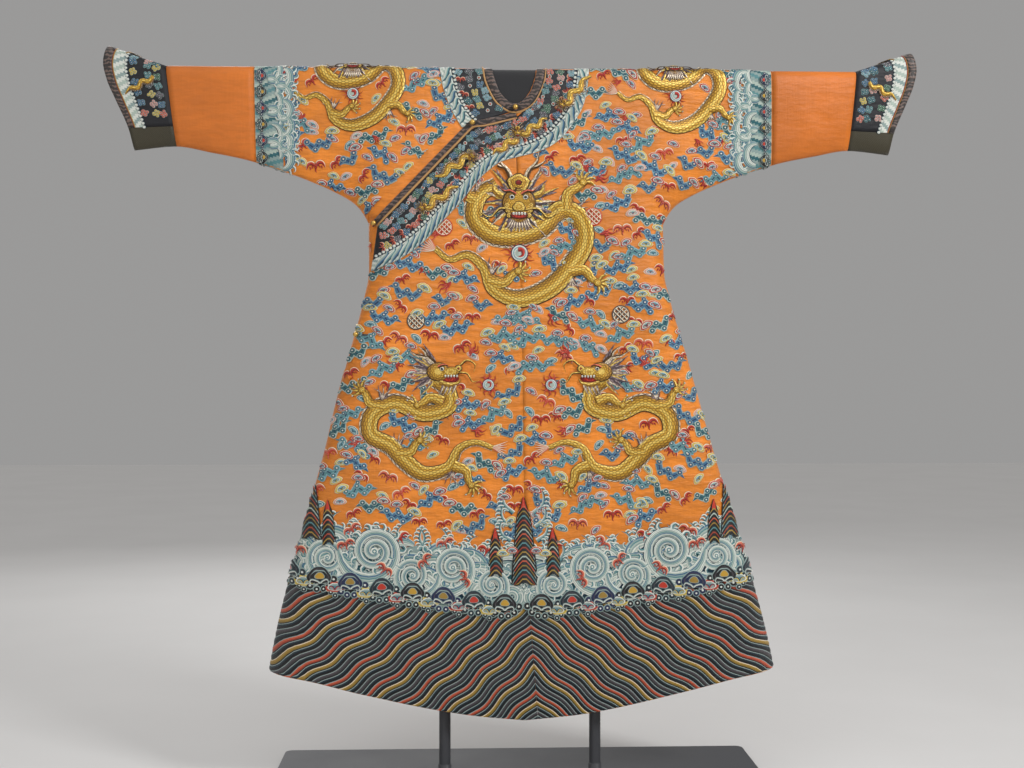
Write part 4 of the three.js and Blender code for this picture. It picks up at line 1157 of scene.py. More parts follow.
FRONT_COLLAR = ([row[2:] for row in COLLAR_LEFT] + [(-313, 1231), (-100, 1450), (-69, 1454)]
                + [row[2:] for row in COLLAR_RIGHT[::-1]] + [(-164, 1640), (164, 1640)])
BACK_COLLAR = ([row[2:] for row in COLLAR_BACK] + [(-row[2], row[3]) for row in COLLAR_BACK[::-1]]
               + [(-164, 1640), (164, 1640)])
SLEEVE_BAND = (506.0, 565.0)


def beyond_edge(x, z):
    """Whether points of the front or back lie outside the side fold or below the sleeve's lower edge."""
    across = np.abs(x)
    past_sleeve = (across > ARMPIT[0]) & (z < underarm_z(np.maximum(across, ARMPIT[0])))
    return np.where(z < ARMPIT[1], across > side_half(z), past_sleeve)


def within(outline, x, z):
    """Whether points lie inside a closed outline: whether a ray towards +X crosses its edges an odd number
    of times."""
    inside = np.zeros(np.shape(x), bool)
    line = np.array(outline, float)
    for (ax, az), (bx, bz) in zip(line, np.roll(line, -1, axis=0)):
        if az != bz:
            inside ^= ((az > z) != (bz > z)) & (x < ax + (z - az) * (bx - ax) / (bz - az))
    return inside


def free_cloth(x, v, back=False, margin=2.0):
    """Whether chart points lie on bare satin: off the collar, the hem's edge and the sleeve bands."""
    edge = on_cloth(x, v)[1]
    bare = (edge > margin) & ~beyond_edge(x, v) & (v > hem_z(x) + margin) & (np.abs(x) < SLEEVE_BAND[0] - 2)
    if back:
        return bare & ~within(BACK_COLLAR, x, v)
    lapel = distance_to(np.array(LAPEL, float), x, v)[0] < 20
    return bare & ~within(FRONT_COLLAR, x, v) & ~lapel


def embroider(name, work, material="floss", slot="silk_satin", keep=free_cloth, back=False, base=CLOTH_RISE,
              lifted=None):
    """Lays needlework on the cloth: each point goes to its chart place at its own rise above the silk, the
    back's over the shoulder's fold, and faces with a corner outside `keep` are left out."""
    points, faces, colours, threads = work.joined()
    x, v = points[:, 0], points[:, 1]
    inside = keep(x, v, back)[faces].all(1)
    used, order = np.unique(faces[inside], return_inverse=True)
    faces_kept, colours = order.reshape(-1, 4), colours[inside]
    x, v, high, threads = x[used], v[used], points[used, 2], threads[used]
    at_v = 2 * fold_v(x) - v if back else v
    place, out = raised(x, at_v, base + 0.15 + high * bpy.context.scene.robe_sizes.relief, lifted)
    piece = new_object(name, place, facing_out(place, faces_kept, out), finish(material))
    tint = np.ones((len(faces_kept), 4, 4), np.float32)
    tint[:, :, :3] = linear(colours / 255)[:, None, :]
    piece.data.color_attributes.new("silk", "FLOAT_COLOR", "CORNER").data.foreach_set("color", tint.ravel())
    lie = np.concatenate([threads, np.zeros((len(threads), 1))], 1).astype(np.float32)
    piece.data.attributes.new("thread", "FLOAT_VECTOR", "POINT").data.foreach_set("vector", lie.ravel())
    return piece


DRAGONS = (("chest", 4, 1280, 1.0, 1), ("side", -176, 899, 1.0, 1), ("side", 176, 899, 1.0, -1),
           ("shoulder", -352, 1592, 0.70, 1), ("shoulder", 352, 1592, 0.70, 1))


def dragon_cover(back):
    """Points that the dragons and the rings of ornament take up, which the clouds keep clear of."""
    taken = []
    for kind, x, v, size, flip in DRAGONS:
        line = curve(SIDE_BODY if kind == "side" else CHEST_BODY, 40)
        extra = ([(108, -22), (88, -16), (128, -16), (52, 12), (24, 24), (0, 40),
                  (-30, 40)] if kind == "side" else
                 [(0, -118), (-30, -118), (30, -118), (0, -150), (-50, 30), (50, 30), (0, 70), (-30, 50),
                  (30, 50)])
        spots = np.vstack([line, extra, [(0, 5)]])
        middle = 2 * fold_v(np.array(float(x))) - v if back and kind == "shoulder" else v
        taken.append(np.stack([x + spots[:, 0] * size * flip, middle + spots[:, 1] * size], 1))
    return np.vstack(taken)


def scatter(count, room, blocked, clearance, spacing, rng, back, stretch=(1.28, 0.78)):
    """Places spread over a region: candidates in random order, each kept if no kept one lies within
    `spacing`, measured wider across than up, and no blocked point within `clearance`."""
    x, v = rng.uniform(*room[0], count), rng.uniform(*room[1], count)
    good = free_cloth(x, v, back, 5)
    x, v = x[good], v[good]
    if len(blocked):
        away = np.min((x[:, None] - blocked[:, 0]) ** 2 + (v[:, None] - blocked[:, 1]) ** 2, 1)
        x, v = x[away > clearance**2], v[away > clearance**2]
    kept = np.zeros((0, 2))
    for place in np.stack([x, v], 1):
        if not len(kept) or (((kept - place) / stretch) ** 2).sum(1).min() > spacing**2:
            kept = np.vstack([kept, place])
    return kept


# ---------------------------------------------------------------- materials


class Sock:
    """A socket that takes part in sums: each operator adds a Math node and gives its output."""

    def __init__(self, shader, link):
        self.shader, self.link = shader, link

    def math(self, operation, *others):
        return self.shader.node("ShaderNodeMath", {"operation": operation}, self, *others)

    def __add__(self, other):
        return self.math("ADD", other)

    def __radd__(self, other):
        return self.math("ADD", other)

    def __sub__(self, other):
        return self.math("SUBTRACT", other)

    def __rsub__(self, other):
        return (self * -1).math("ADD", other)

    def __mul__(self, other):
        return self.math("MULTIPLY", other)

    def __rmul__(self, other):
        return self.math("MULTIPLY", other)

    def __truediv__(self, other):
        return self.math("DIVIDE", other)


class Shader:
    """A material's node tree, with the few ways of adding to it that the finishes here need."""

    def __init__(self, name, **constants):
        self.material = bpy.data.materials.new(name)
        self.material.use_nodes = True
        self.tree = self.material.node_tree
        self.principled = self.tree.nodes["Principled BSDF"]
        for socket, value in constants.items():
            self.principled.inputs[socket.replace("_", " ")].default_value = value

    def node(self, kind, settings=None, *values, out=0, **named):
        """Adds a node, sets it up, feeds its sockets in order or by name, and gives one of its outputs."""
        made = self.tree.nodes.new(kind)
        for key, value in (settings or {}).items():
            if key == "stops":
                for place, (at, colour) in enumerate(value):
                    stop = made.color_ramp.elements[place] if place < 2 else made.color_ramp.elements.new(at)
                    stop.position, stop.color = at, (*colour, 1)
            else:
                setattr(made, key, value)
        pairs = [*enumerate(values), *((key.replace("_", " "), value) for key, value in named.items())]
        for socket, value in pairs:
            if isinstance(value, Sock):
                self.tree.links.new(value.link, made.inputs[socket])
            elif value is not None:
                made.inputs[socket].default_value = value
        return Sock(self, made.outputs[out])

    def feed(self, socket, value):
        self.tree.links.new(value.link, self.principled.inputs[socket])

    def place(self):
        return self.node("ShaderNodeTexCoord", out="Object")

    def noise(self, vector, scale, detail=2.0, out=0):
        return self.node("ShaderNodeTexNoise", None, Vector=vector, Scale=scale, Detail=detail, out=out)

    def mix(self, factor, a, b, blend="MIX"):
        """A colour mix; a and b are colours of three numbers or sockets."""
        made = self.tree.nodes.new("ShaderNodeMix")
        made.data_type, made.blend_type = "RGBA", blend
        for socket, value in ((0, factor), (6, a), (7, b)):
            if isinstance(value, Sock):
                self.tree.links.new(value.link, made.inputs[socket])
            else:
                made.inputs[socket].default_value = value if socket == 0 else (*value, 1)
        return Sock(self, made.outputs[2])

    def bump(self, height, strength, distance):
        normal = self.node("ShaderNodeBump", None, Strength=strength, Distance=distance, Height=height)
        self.feed("Normal", normal)


def linear(colour):
    """Linear values of an sRGB colour of 0 to 1."""
    c = np.asarray(colour, float)
    return np.where(c <= 0.04045, c / 12.92, ((c + 0.055) / 1.055) ** 2.4)


def tone(colour, factor):
    """A linear colour, lighter or darker by a factor."""
    return tuple(float(c) for c in np.clip(linear(colour) * factor, 0, 1))


def silk_material(name, colour, pucker_and_shade=1.0, roughness=0.42):
    """Satin: fine warp lines, faint slubs, soft puckers, painted shade along the slanting puckers, and slow
    patches of painted shade and painted light that stand in for broad folds.
    """
    s = Shader(name, Roughness=roughness, Sheen_Weight=0.12, Sheen_Roughness=0.35, Specular_IOR_Level=0.45)
    at = s.place()
    parts = s.node("ShaderNodeSeparateXYZ", None, at)
    across = Sock(s, parts.link.node.outputs[0])
    up = Sock(s, parts.link.node.outputs[2])
    warp = (across * 9000).math("SINE")
    weft = (up * 6000).math("SINE")
    slow = s.noise(at, 3.2, 3)
    stretched = s.node("ShaderNodeMapping", None, Vector=at, Scale=(260, 260, 9))
    slub = s.noise(stretched, 1.0, 3)
    soft = s.noise(at, 34, 2)
    # Painted shade and light: slow patches of darker and lighter satin, standing in for the shade of broad
    # folds.
    fold_shade_mask = s.node("ShaderNodeMapRange", {"interpolation_type": "SMOOTHSTEP"}, slow, 0.32, 0.66, 0.0, 1.0)
    fold_shade_and_light = s.mix(fold_shade_mask, tone(colour, 0.80), tone(colour, 1.20))
    streak = s.mix(slub * 0.35, fold_shade_and_light, tone(colour, 0.72))
    slant = s.noise(s.node("ShaderNodeMapping", None, Vector=at, Rotation=(0, 0.6, 0), Scale=(26, 26, 95)),
                    1.0, 2)
    # Painted shade: the satin darkens along the slanting puckers, as if shaded by them; the same noise also
    # raises them in the bump.
    dull = s.node("ShaderNodeMapRange", {"interpolation_type": "SMOOTHSTEP"}, slant, 0.42, 0.64, 0.0,
                  0.5 * pucker_and_shade)
    s.feed("Base Color", s.mix(dull, streak, tone(colour, 0.66)))
    s.feed("Roughness", slub * 0.14 + (roughness - 0.06))
    height = soft * (0.6 * pucker_and_shade) + slant * pucker_and_shade + slub * 0.1 + warp * 0.012 + weft * 0.008
    s.bump(height, 0.75, 0.0045)
    return s.material


def floss_material(name, metallic=0.0, roughness=0.4, scales=False):
    """Stitching: the colour kept with each face, ribbed by the lie of its threads, or laid out as scales."""
    s = Shader(name, Roughness=roughness, Metallic=metallic, Sheen_Weight=0.05, Specular_IOR_Level=0.45)
    tint = s.node("ShaderNodeAttribute", {"attribute_name": "silk"}, out="Color")
    lie = s.node("ShaderNodeAttribute", {"attribute_name": "thread"}, out="Vector")
    parts = s.node("ShaderNodeSeparateXYZ", None, lie)
    along = Sock(s, parts.link.node.outputs[0])
    across = Sock(s, parts.link.node.outputs[1])
    fibre = s.noise(s.node("ShaderNodeMapping", None, Vector=lie, Scale=(2.2, 0.35, 1)), 1.0, 2)
    stitch = (along * 7.0).math("SINE")
    height = stitch * 0.5 + fibre
    colour = s.mix(fibre * 0.45, tint, s.mix(1.0, tint, (0.42, 0.40, 0.40), "MULTIPLY"))
    if scales:
        length, width = 7.5, 5.6
        row = (along / length).math("FLOOR")
        shift = (row.math("MODULO", 2.0)) * (width / 2)
        u = (along / length).math("FRACT") - 0.5
        w = ((across + shift) / width).math("FRACT") - 0.5
        round_off = (u * u * 1.1 + w * w * 2.6).math("POWER", 0.5)
        rim = round_off.math("SMOOTH_MIN", 0.62, 0.05) / 0.62
        dark = s.node("ShaderNodeMapRange", {"interpolation_type": "SMOOTHSTEP"}, rim, 0.66, 0.97, 0.0, 0.75)
        plate = s.mix(1.0, tint, (0.30, 0.24, 0.20), "MULTIPLY")
        colour = s.mix(dark, s.mix(fibre * 0.35, tint, plate), plate)
        height = 1 - rim + fibre * 0.2 + stitch * 0.1
    s.feed("Base Color", colour)
    s.bump(height, 0.6, 0.0006)
    return s.material


def brocade_material(name, colour):
    """A woven border: small rounds and stems of a lighter thread on a darker ground."""
    s = Shader(name, Roughness=0.5, Sheen_Weight=0.3)
    at = s.place()
    cells = s.node("ShaderNodeTexVoronoi", {"feature": "F1"}, Vector=at, Scale=130.0)
    stems = s.node("ShaderNodeTexWave", {"wave_type": "RINGS"}, Vector=at, Scale=38.0, Distortion=9.0,
                   out="Fac")
    pattern = s.node("ShaderNodeMapRange", None, cells * 0.7 + stems * 0.5, 0.45, 0.62, 0.0, 1.0)
    ground = s.mix(pattern, tone(colour, 2.1), tone(colour, 0.25))
    s.feed("Base Color", ground)
    s.bump(pattern * -1 + s.noise(at, 900, 2) * 0.5, 0.5, 0.0006)
    return s.material


def twill_material(name, colour, roughness=0.6, scale=1.0):
    """Plain cloth or cord: a slanting rib with a little dust and wear."""
    s = Shader(name, Roughness=roughness, Sheen_Weight=0.25)
    at = s.place()
    rib = s.node("ShaderNodeTexWave", {"bands_direction": "DIAGONAL"}, Vector=at, Scale=160.0 * scale,
                 Distortion=1.5, out="Fac")
    worn = s.noise(at, 9, 4)
    s.feed("Base Color", s.mix(worn * 0.8, tone(colour, 0.7), tone(colour, 1.5)))
    s.feed("Roughness", worn * 0.2 + (roughness - 0.1))
    s.bump(rib * 0.4 + s.noise(at, 260, 2), 0.45, 0.0008)
    return s.material


def metal_material(name, colour, roughness=0.28):
    """Gilt metal, a little uneven and duller in places."""
    s = Shader(name, Metallic=1.0, Roughness=roughness)
    at = s.place()
    dull = s.noise(at, 160, 4)
    s.feed("Base Color", s.mix(dull, tone(colour, 1.15), tone(colour, 0.7)))
    s.feed("Roughness", dull * 0.3 + (roughness - 0.1))
    s.bump(s.noise(at, 420, 3), 0.2, 0.0004)
    return s.material


def paint_material(name, colour):
    """Powder-coated steel: a fine grain and faint smudges."""
    s = Shader(name, Roughness=0.5, Specular_IOR_Level=0.5)
    at = s.place()
    smudge = s.noise(at, 7, 5)
    s.feed("Base Color", s.mix(smudge, tone(colour, 0.85), tone(colour, 1.2)))
    s.feed("Roughness", smudge * 0.22 + 0.38)
    s.bump(s.noise(at, 1400, 2), 0.25, 0.0003)
    return s.material


MADE = {}


def finish(key):
    """The material of that name, made when it is first asked for."""
    c = bpy.context.scene.robe_colours
    makers = {
        "satin": lambda: silk_material("orange_satin", c.satin),
        "plain": lambda: silk_material("plain_satin", c.plain, 0.45),
        "dark": lambda: silk_material("dark_silk", c.dark, 0.5, 0.5),
        "olive": lambda: twill_material("olive_silk", c.olive, 0.5),
        "border": lambda: brocade_material("border_brocade", c.border),
        "piping": lambda: twill_material("tan_piping", c.piping, 0.45, 1.6),
        "cord": lambda: twill_material("dark_cord", c.cord, 0.6, 2.0),
        "gilt": lambda: metal_material("gilt_brass", (0.86, 0.70, 0.38)),
        "form": lambda: twill_material("form_cover", c.form, 0.8, 1.4),
        "paint": lambda: paint_material("stand_paint", c.paint),
        "floss": lambda: floss_material("silk_floss"),
        "couched": lambda: floss_material("couched_gold", 0.35, 0.36, True),
        "line": lambda: floss_material("laid_line", 0.0, 0.45),
    }
    if key not in MADE:
        MADE[key] = makers[key]()
    return MADE[key]


# ---------------------------------------------------------------- operators


# Area lights: name, place, power, size.
LIGHTS = (("key", (2.5, -2.4, 3.0), 96, 0.9), ("fill", (-2.4, -3.0, 1.6), 17, 2.0),
          ("rear", (-0.8, 3.2, 2.8), 48, 2.2), ("low", (-0.4, -3.0, 0.3), 7, 2.0))
LIT = (0, 0, 0.95)  # what they point at
SUN_WAY = (0.2, 0.55, -1)
CAMERA, LOOKED_AT = (-0.133, -2.998, 0.879), (-0.0176, 0, 0.879)


def aimed(name, data, place, target):
    """Adds a light or camera at a place, pointing at a target."""
    thing = bpy.data.objects.new(name, data)
    thing.location = place
    thing.rotation_mode = "QUATERNION"
    thing.rotation_quaternion = (Vector(target) - thing.location).to_track_quat("-Z", "Y")
    bpy.context.scene.collection.objects.link(thing)
    return thing


class ROBE_OT_stage(bpy.types.Operator):
    """Lays the floor, sets the lights and places the camera."""

    bl_idname = "robe.stage"
    bl_label = "Stage"

    def execute(self, context):
        mesh = bpy.data.meshes.new("floor")
        mesh.from_pydata([(-9, -7, 0), (9, -7, 0), (9, 12, 0), (-9, 12, 0)], [], [(0, 1, 2, 3)])
        floor = bpy.data.objects.new("floor", mesh)
        context.scene.collection.objects.link(floor)
        s = Shader("pale_floor", Roughness=0.75)
        grain = s.noise(s.place(), 2.0, 4)
        s.feed("Base Color", s.mix(grain, (0.60, 0.59, 0.58), (0.66, 0.65, 0.64)))
        mesh.materials.append(s.material)
        world = bpy.data.worlds.new("studio")
        world.use_nodes = True
        colour, strength = world.node_tree.nodes["Background"].inputs[:2]
        colour.default_value, strength.default_value = (0.90, 0.89, 0.88, 1), 0.36
        context.scene.world = world
        sun = bpy.data.lights.new("skylight", "SUN")
        sun.energy, sun.angle = 0.75, 1.0
        aimed("skylight", sun, (0, 0, 0), SUN_WAY)
        for name, place, power, size in LIGHTS:
            lamp = bpy.data.lights.new(name, "AREA")
            lamp.energy, lamp.size = power, size
            aimed(name, lamp, place, LIT)
        lens = bpy.data.cameras.new("camera")
        lens.lens, lens.sensor_width = 47.95, 36
        context.scene.camera = aimed("camera", lens, CAMERA, LOOKED_AT)
        context.scene.view_settings.view_transform = "Standard"
        return {"FINISHED"}


class ROBE_OT_body(bpy.types.Operator):
    """Cuts the two body lengths and the overlap, each as a thin shell of satin."""

    bl_idname = "robe.body"
    bl_label = "Body lengths"

    def execute(self, context):
        satin = finish("satin")
        left = [skirt_grid(1, "front"), skirt_grid(1, "back"), inner_grid(1, "front"), inner_grid(1, "back"),
                outer_grid(1, "front"), outer_grid(1, "back")]
        right = [skirt_grid(-1, "back"), inner_grid(-1, "front", underlap_low), inner_grid(-1, "back"),
                 outer_grid(-1, "front"), outer_grid(-1, "back"), strip_grid()]
        piece = shell("body_left_silk", left, satin, ["body_left"])
        piece = shell("body_right_silk", right, satin, ["body_right"])
        piece = shell("overlap_silk", overlap_grid(), satin, ["front_overlap"], lifted=True)
        return {"FINISHED"}


class ROBE_OT_sleeves(bpy.types.Operator):
    """Makes the sleeve extensions, the horseshoe cuffs, their under bands and borders."""

    bl_idname = "robe.sleeves"
    bl_label = "Sleeves and cuffs"

    def execute(self, context):
        for name, sign in (("left", 1), ("right", -1)):
            both = [sleeve_grid(sign, "front"), sleeve_grid(sign, "back")]
            piece = shell(f"sleeve_{name}_silk", both, finish("plain"), [f"sleeve_{name}"])
            both = [cuff_grid(sign, "front"), cuff_grid(sign, "back")]
            piece = shell(f"cuff_{name}_silk", both, finish("dark"), [f"cuff_{name}"])
            both = [cuff_grid(sign, "front", above=False), cuff_grid(sign, "back", above=False)]
            under = f"cuff_under_{name}"
            piece = shell(f"{under}_silk", both, finish("olive"), [under])
            both = [cuff_grid(sign, "front", 0.86, 1.0), cuff_grid(sign, "back", 0.86, 1.0)]
            piece = shell(f"cuff_border_{name}_brocade", both, finish("border"),
                          [f"cuff_border_{name}"], rise=2.6 + swell(1.3, 5, 0.15), thickness=0.5)
        return {"FINISHED"}


class ROBE_OT_collar(bpy.types.Operator):
    """Makes the collar bands, the neck band, and the lapel's binding and piping."""

    bl_idname = "robe.collar"
    bl_label = "Collar"

    def execute(self, context):
        dark = finish("dark")
        piece = shell("collar_left_silk", [band_grid(COLLAR_LEFT, count=90)], dark,
                      ["collar_left"], BAND_RISE, True, 0.9)
        piece = shell("collar_right_silk", [band_grid(COLLAR_RIGHT, count=24)], dark,
                      ["collar_right"], BAND_RISE, False, 0.9)
        both = [band_grid(COLLAR_BACK, "back", 30), band_grid(COLLAR_BACK_RIGHT, "back", 30)]
        piece = shell("collar_back_silk", both, dark, ["collar_back"], BAND_RISE, False, 0.9)
        bands = []
        for side, inner, outer in (("front", NECK_FRONT, BAND_FRONT), ("back", NECK_BACK, BAND_BACK)):
            pair = np.hstack([curve(inner, 16) * (0.965, 1) + (0, 1.6), curve(outer, 16)])
            bands.append(band_grid(np.vstack([pair[::-1] * (-1, 1, -1, 1), pair[1:]]), side, 40, 7))
        border = finish("border")
        piece = shell("neck_band_brocade", bands, border, ["neck_band"],
                      2.7 + swell(1.2, 7), False, 0.6)
        piece = shell("lapel_binding_silk", [along_lapel(0.3, 12)], border,
                      ["lapel_binding"], 2.4 + swell(1.5, 7), True, 0.6)
        piece = shell("lapel_piping_silk", [along_lapel(12.3, 17.3)], finish("piping"),
                      ["lapel_piping"], 2.2 + swell(1.5, 7), True, 0.5)
        return {"FINISHED"}


def everywhere(x, v, back=False):
    """No limit to where needlework may lie."""
    return np.ones(np.shape(x), bool)


# The big breaking waves of each half: distance from the middle, height over the heads, radius, way round.
ROLLERS = ((150, 76, 39, 1), (318, 86, 44, 1), (420, 54, 36, -1), (238, 46, 33, -1), (66, 48, 31, 1))


SEA_TONES = (
    ("deep", "celadon", "mist", "foam", "mist", "celadon", "sea", "foam", "mist", "celadon", "deep"),
    ("deep", "mist", "celadon", "sea", "foam", "celadon", "mist", "blue", "sea", "foam", "celadon"),
)


def sea_ground(sign, side):
    """The ground under the waves: three bands from just below the heads up to a wavy edge."""
    s = towards_edge(40)[:, None]
    t = np.linspace(0, 1, 4)[None, :]
    x = 250 + 0 * s * t
    for _ in range(4):
        z = waterline(x) - 6 + (112 + 9 * np.sin(np.abs(x) / 26)) * t
        x = (seam_x(z) * (side == "front") + sign * STITCH_GAP) * (1 - s) + sign * s * side_half(z)
    points = np.stack([x, z, 0.35 + 0 * z], 2).reshape(-1, 3)
    inks = np.array([INK[ink] for ink in ("deep", "teal", "mist")], float)
    threads = np.stack([x * 1.3, z], 2).reshape(-1, 2)
    return Work().add(points, grid_faces(*z.shape), np.tile(inks, (len(s) - 1, 1)), threads)


def add_wave(work, row, k, sign, rng):
    """Adds one wave of a row: a surge or a dome with foam, and over the top row sprays and now and then a
    bat."""
    at = 26 + 48 * k + 24 * (row % 2) + rng.uniform(-5, 5)
    z = float(waterline(at)) + 22 + 28 * row + rng.uniform(-4, 6)
    high = 0.4 + 0.35 * (2 - row)
    if (k + row) % 3:
        wave = surge(rng.uniform(30, 38), rng.uniform(140, 190), rng.uniform(14, 17))
        work.put(wave, sign * at, z, rng.uniform(-22, 22), 1.0, 1 if (k + row) % 2 else -1, high)
    elif row < 2:
        radius = rng.uniform(27, 34)
        work.put(wave_dome(radius, SEA_TONES[k % 2]), sign * at, z, rise=high)
        work.put(foam_crest(radius, 15, 150, 12), sign * at, z, rise=high + 0.8)
    if row == 2:
        for way in (-1, 1):
            frond = spray(rng.uniform(34, 58), way)
            work.put(frond, sign * (at + 9 * way), z + 22, rng.uniform(-14, 14), rise=0.3)
        if k % 2:
            flyer = bat("crimson", ("flame", "coral")[k // 2 % 2])
            work.put(flyer, sign * at, z + 42, rng.uniform(-50, 50), 0.95, rise=1.6)


def sea(sign, side, rng):
    """The sea of one half of one side: a ground, three rows of waves with sprays above them, the big
    breaking waves, and the row of heads below, with a smaller one and three curls between each two."""
    work = sea_ground(sign, side)
    for row in (2, 1, 0):
        for k in range(12):
            add_wave(work, row, k, sign, rng)
    for n, (at, up, radius, way) in enumerate(ROLLERS):
        z = float(waterline(at)) + up
        work.put(roller(radius), sign * at, z, 0, 1.0, sign * way, 1.5 + 0.9 * (n % 2))
        work.put(bat("crimson", "coral"), sign * (at + 60), z + 14, 50 - 30 * n, 0.9, rise=5.2)
    for k in range(8):
        at = 40 + 66 * k
        head = water_head(("gold", "flame", "old_gold")[k % 3], ("black", "night", "navy")[k % 3])
        work.put(head, sign * at, float(waterline(at)) + 8, rng.uniform(-6, 6), 1.28, rise=3.6)
        at += 33
        z = float(waterline(at))
        for dx, dz in ((-9, -17), (9, -17), (0, -24)):
            curl = bead(6.6, ("mist", "black", "night", "foam"), 10)
            work.put(curl, sign * (at + dx), z + dz, rise=3.4)
        work.put(petal_head(("yellow", "red")[k % 2], "mist"), sign * at, z - 6, 0, 1.45, rise=3.8)
    return work


# The peaks of one side, as x, height of the foot, half width, height and rise.
MIDDLE_PEAKS = ((0, 452, 27, 184, 2.4), (-62, 470, 17, 100, 1.8), (62, 470, 17, 100, 1.8))
SIDE_PEAKS = ((452, 552, 20, 140, 2.2), (416, 540, 15, 90, 1.8))


def peaks(middle):
    """The peaks that stand in the sea of one side, and the sprays and cloud heads round the middle ones."""
    work = Work()
    for x, v, width, height, rise in MIDDLE_PEAKS:
        work.put(mountain(width, height), middle + x, v, rise=rise)
    for flip in (1, -1):
        for k in range(5):
            work.put(spray(58 - 4 * k, flip), middle + flip * (22 + 3 * k), 600 - 30 * k,
                     -flip * (18 + 4 * k), rise=1.0)
        for n, ink in enumerate(("red", "yellow")):
            work.put(petal_head(ink), middle + flip * (26 + 20 * n), 520 - 6 * n, 0, 0.9, rise=3.6)
        for x, v, width, height, rise in SIDE_PEAKS:
            work.put(mountain(width, height), flip * x, v, rise=rise)
    return work


def whole_skirt(x, v, back=False):
    """Where the sea and the peaks may lie: on the cloth, and low down right up to the side folds."""
    on_skirt = (v < waterline(x) + 60) & (np.abs(x) <= side_half(v))
    return ((on_cloth(x, v)[1] > 1.0) & ~beyond_edge(x, v)) | on_skirt


class ROBE_OT_hem(bpy.types.Operator):
    """Embroiders the slanting wave stripes along the hem, the sea above them and the mountains in it."""

    bl_idname = "robe.hem"
    bl_label = "Stripes and sea"

    def execute(self, context):
        rng = np.random.default_rng(context.scene.robe_sizes.seed)
        for side in ("front", "back"):
            back = side == "back"
            for half, sign in (("left", 1), ("right", -1)):
                embroider(f"stripes_{side}_{half}", hem_stripes(sign, side), "line", keep=everywhere,
                          back=back)
                embroider(f"sea_{side}_{half}", sea(sign, side, rng), keep=whole_skirt, back=back)
            embroider(f"mountains_{side}", peaks(4 if side == "front" else 0), keep=whole_skirt, back=back)
        return {"FINISHED"}


class ROBE_OT_dragons(bpy.types.Operator):
    """Embroiders the frontal dragons of chest, back and shoulders and the four in profile on the skirt."""

    bl_idname = "robe.dragons"
    bl_label = "Dragons"

    def execute(self, context):
        made = {"chest": chest_dragon(), "side": side_dragon()}
        made["shoulder"] = made["chest"]
        for side in ("front", "back", "shoulders"):
            gold, silk = Work(), Work()
            for kind, x, v, size, flip in DRAGONS:
                if (kind == "shoulder") == (side == "shoulders"):
                    gold.put(made[kind][0], x, v, 0, size, flip)
                    silk.put(made[kind][1], x, v, 0, size, flip)
            way = {"keep": shoulder_cloth} if side == "shoulders" else {"back": side == "back"}
            embroider(f"dragons_{side}", gold, "couched", "gilt_thread", base=OVER_CLOUDS, **way)
            embroider(f"pearls_{side}", silk, base=OVER_CLOUDS, **way)
        return {"FINISHED"}


def shoulder_cloth(x, v, back=False):
    """Where the shoulder dragons may lie: on bare satin in front, and over the fold clear of the collar."""
    over = v > fold_v(x)
    mirrored = 2 * fold_v(x) - v
    clear = ~within(BACK_COLLAR, x, np.minimum(mirrored, SHOULDER)) & (np.abs(x) < SLEEVE_BAND[0] - 2)
    return np.where(over, clear & (on_cloth(x, v)[1] > 2), free_cloth(x, np.minimum(v, fold_v(x) - 0.1)))


def knot_badge(core, outline):
    """A knot badge: an endless knot's lattice in a ring."""
    work = Work()
    for turn in (45, 135):
        for shift in (-6, 0, 6):
            work.put(ribbon([(-13, shift), (-4, shift), (4, shift), (13, shift)], 1.7, (-1, 0, 1),
                            (0.4, 1.6, 0.4), (outline, core)), turn=turn, rise=0.2 + 0.3 * (turn == 135))
    ring = np.stack([14 * np.cos(np.linspace(0, 2 * math.pi, 25)),
                     14 * np.sin(np.linspace(0, 2 * math.pi, 25))], 1)
    work.put(ribbon(ring, 2.0, (-1, 0, 1), (0.3, 1.4, 0.3), (core, outline)))
    return work


BADGES = ((-160, 1218, "flame"), (165, 1242, "flame"), (-222, 1015, "slate"), (222, 1030, "slate"))


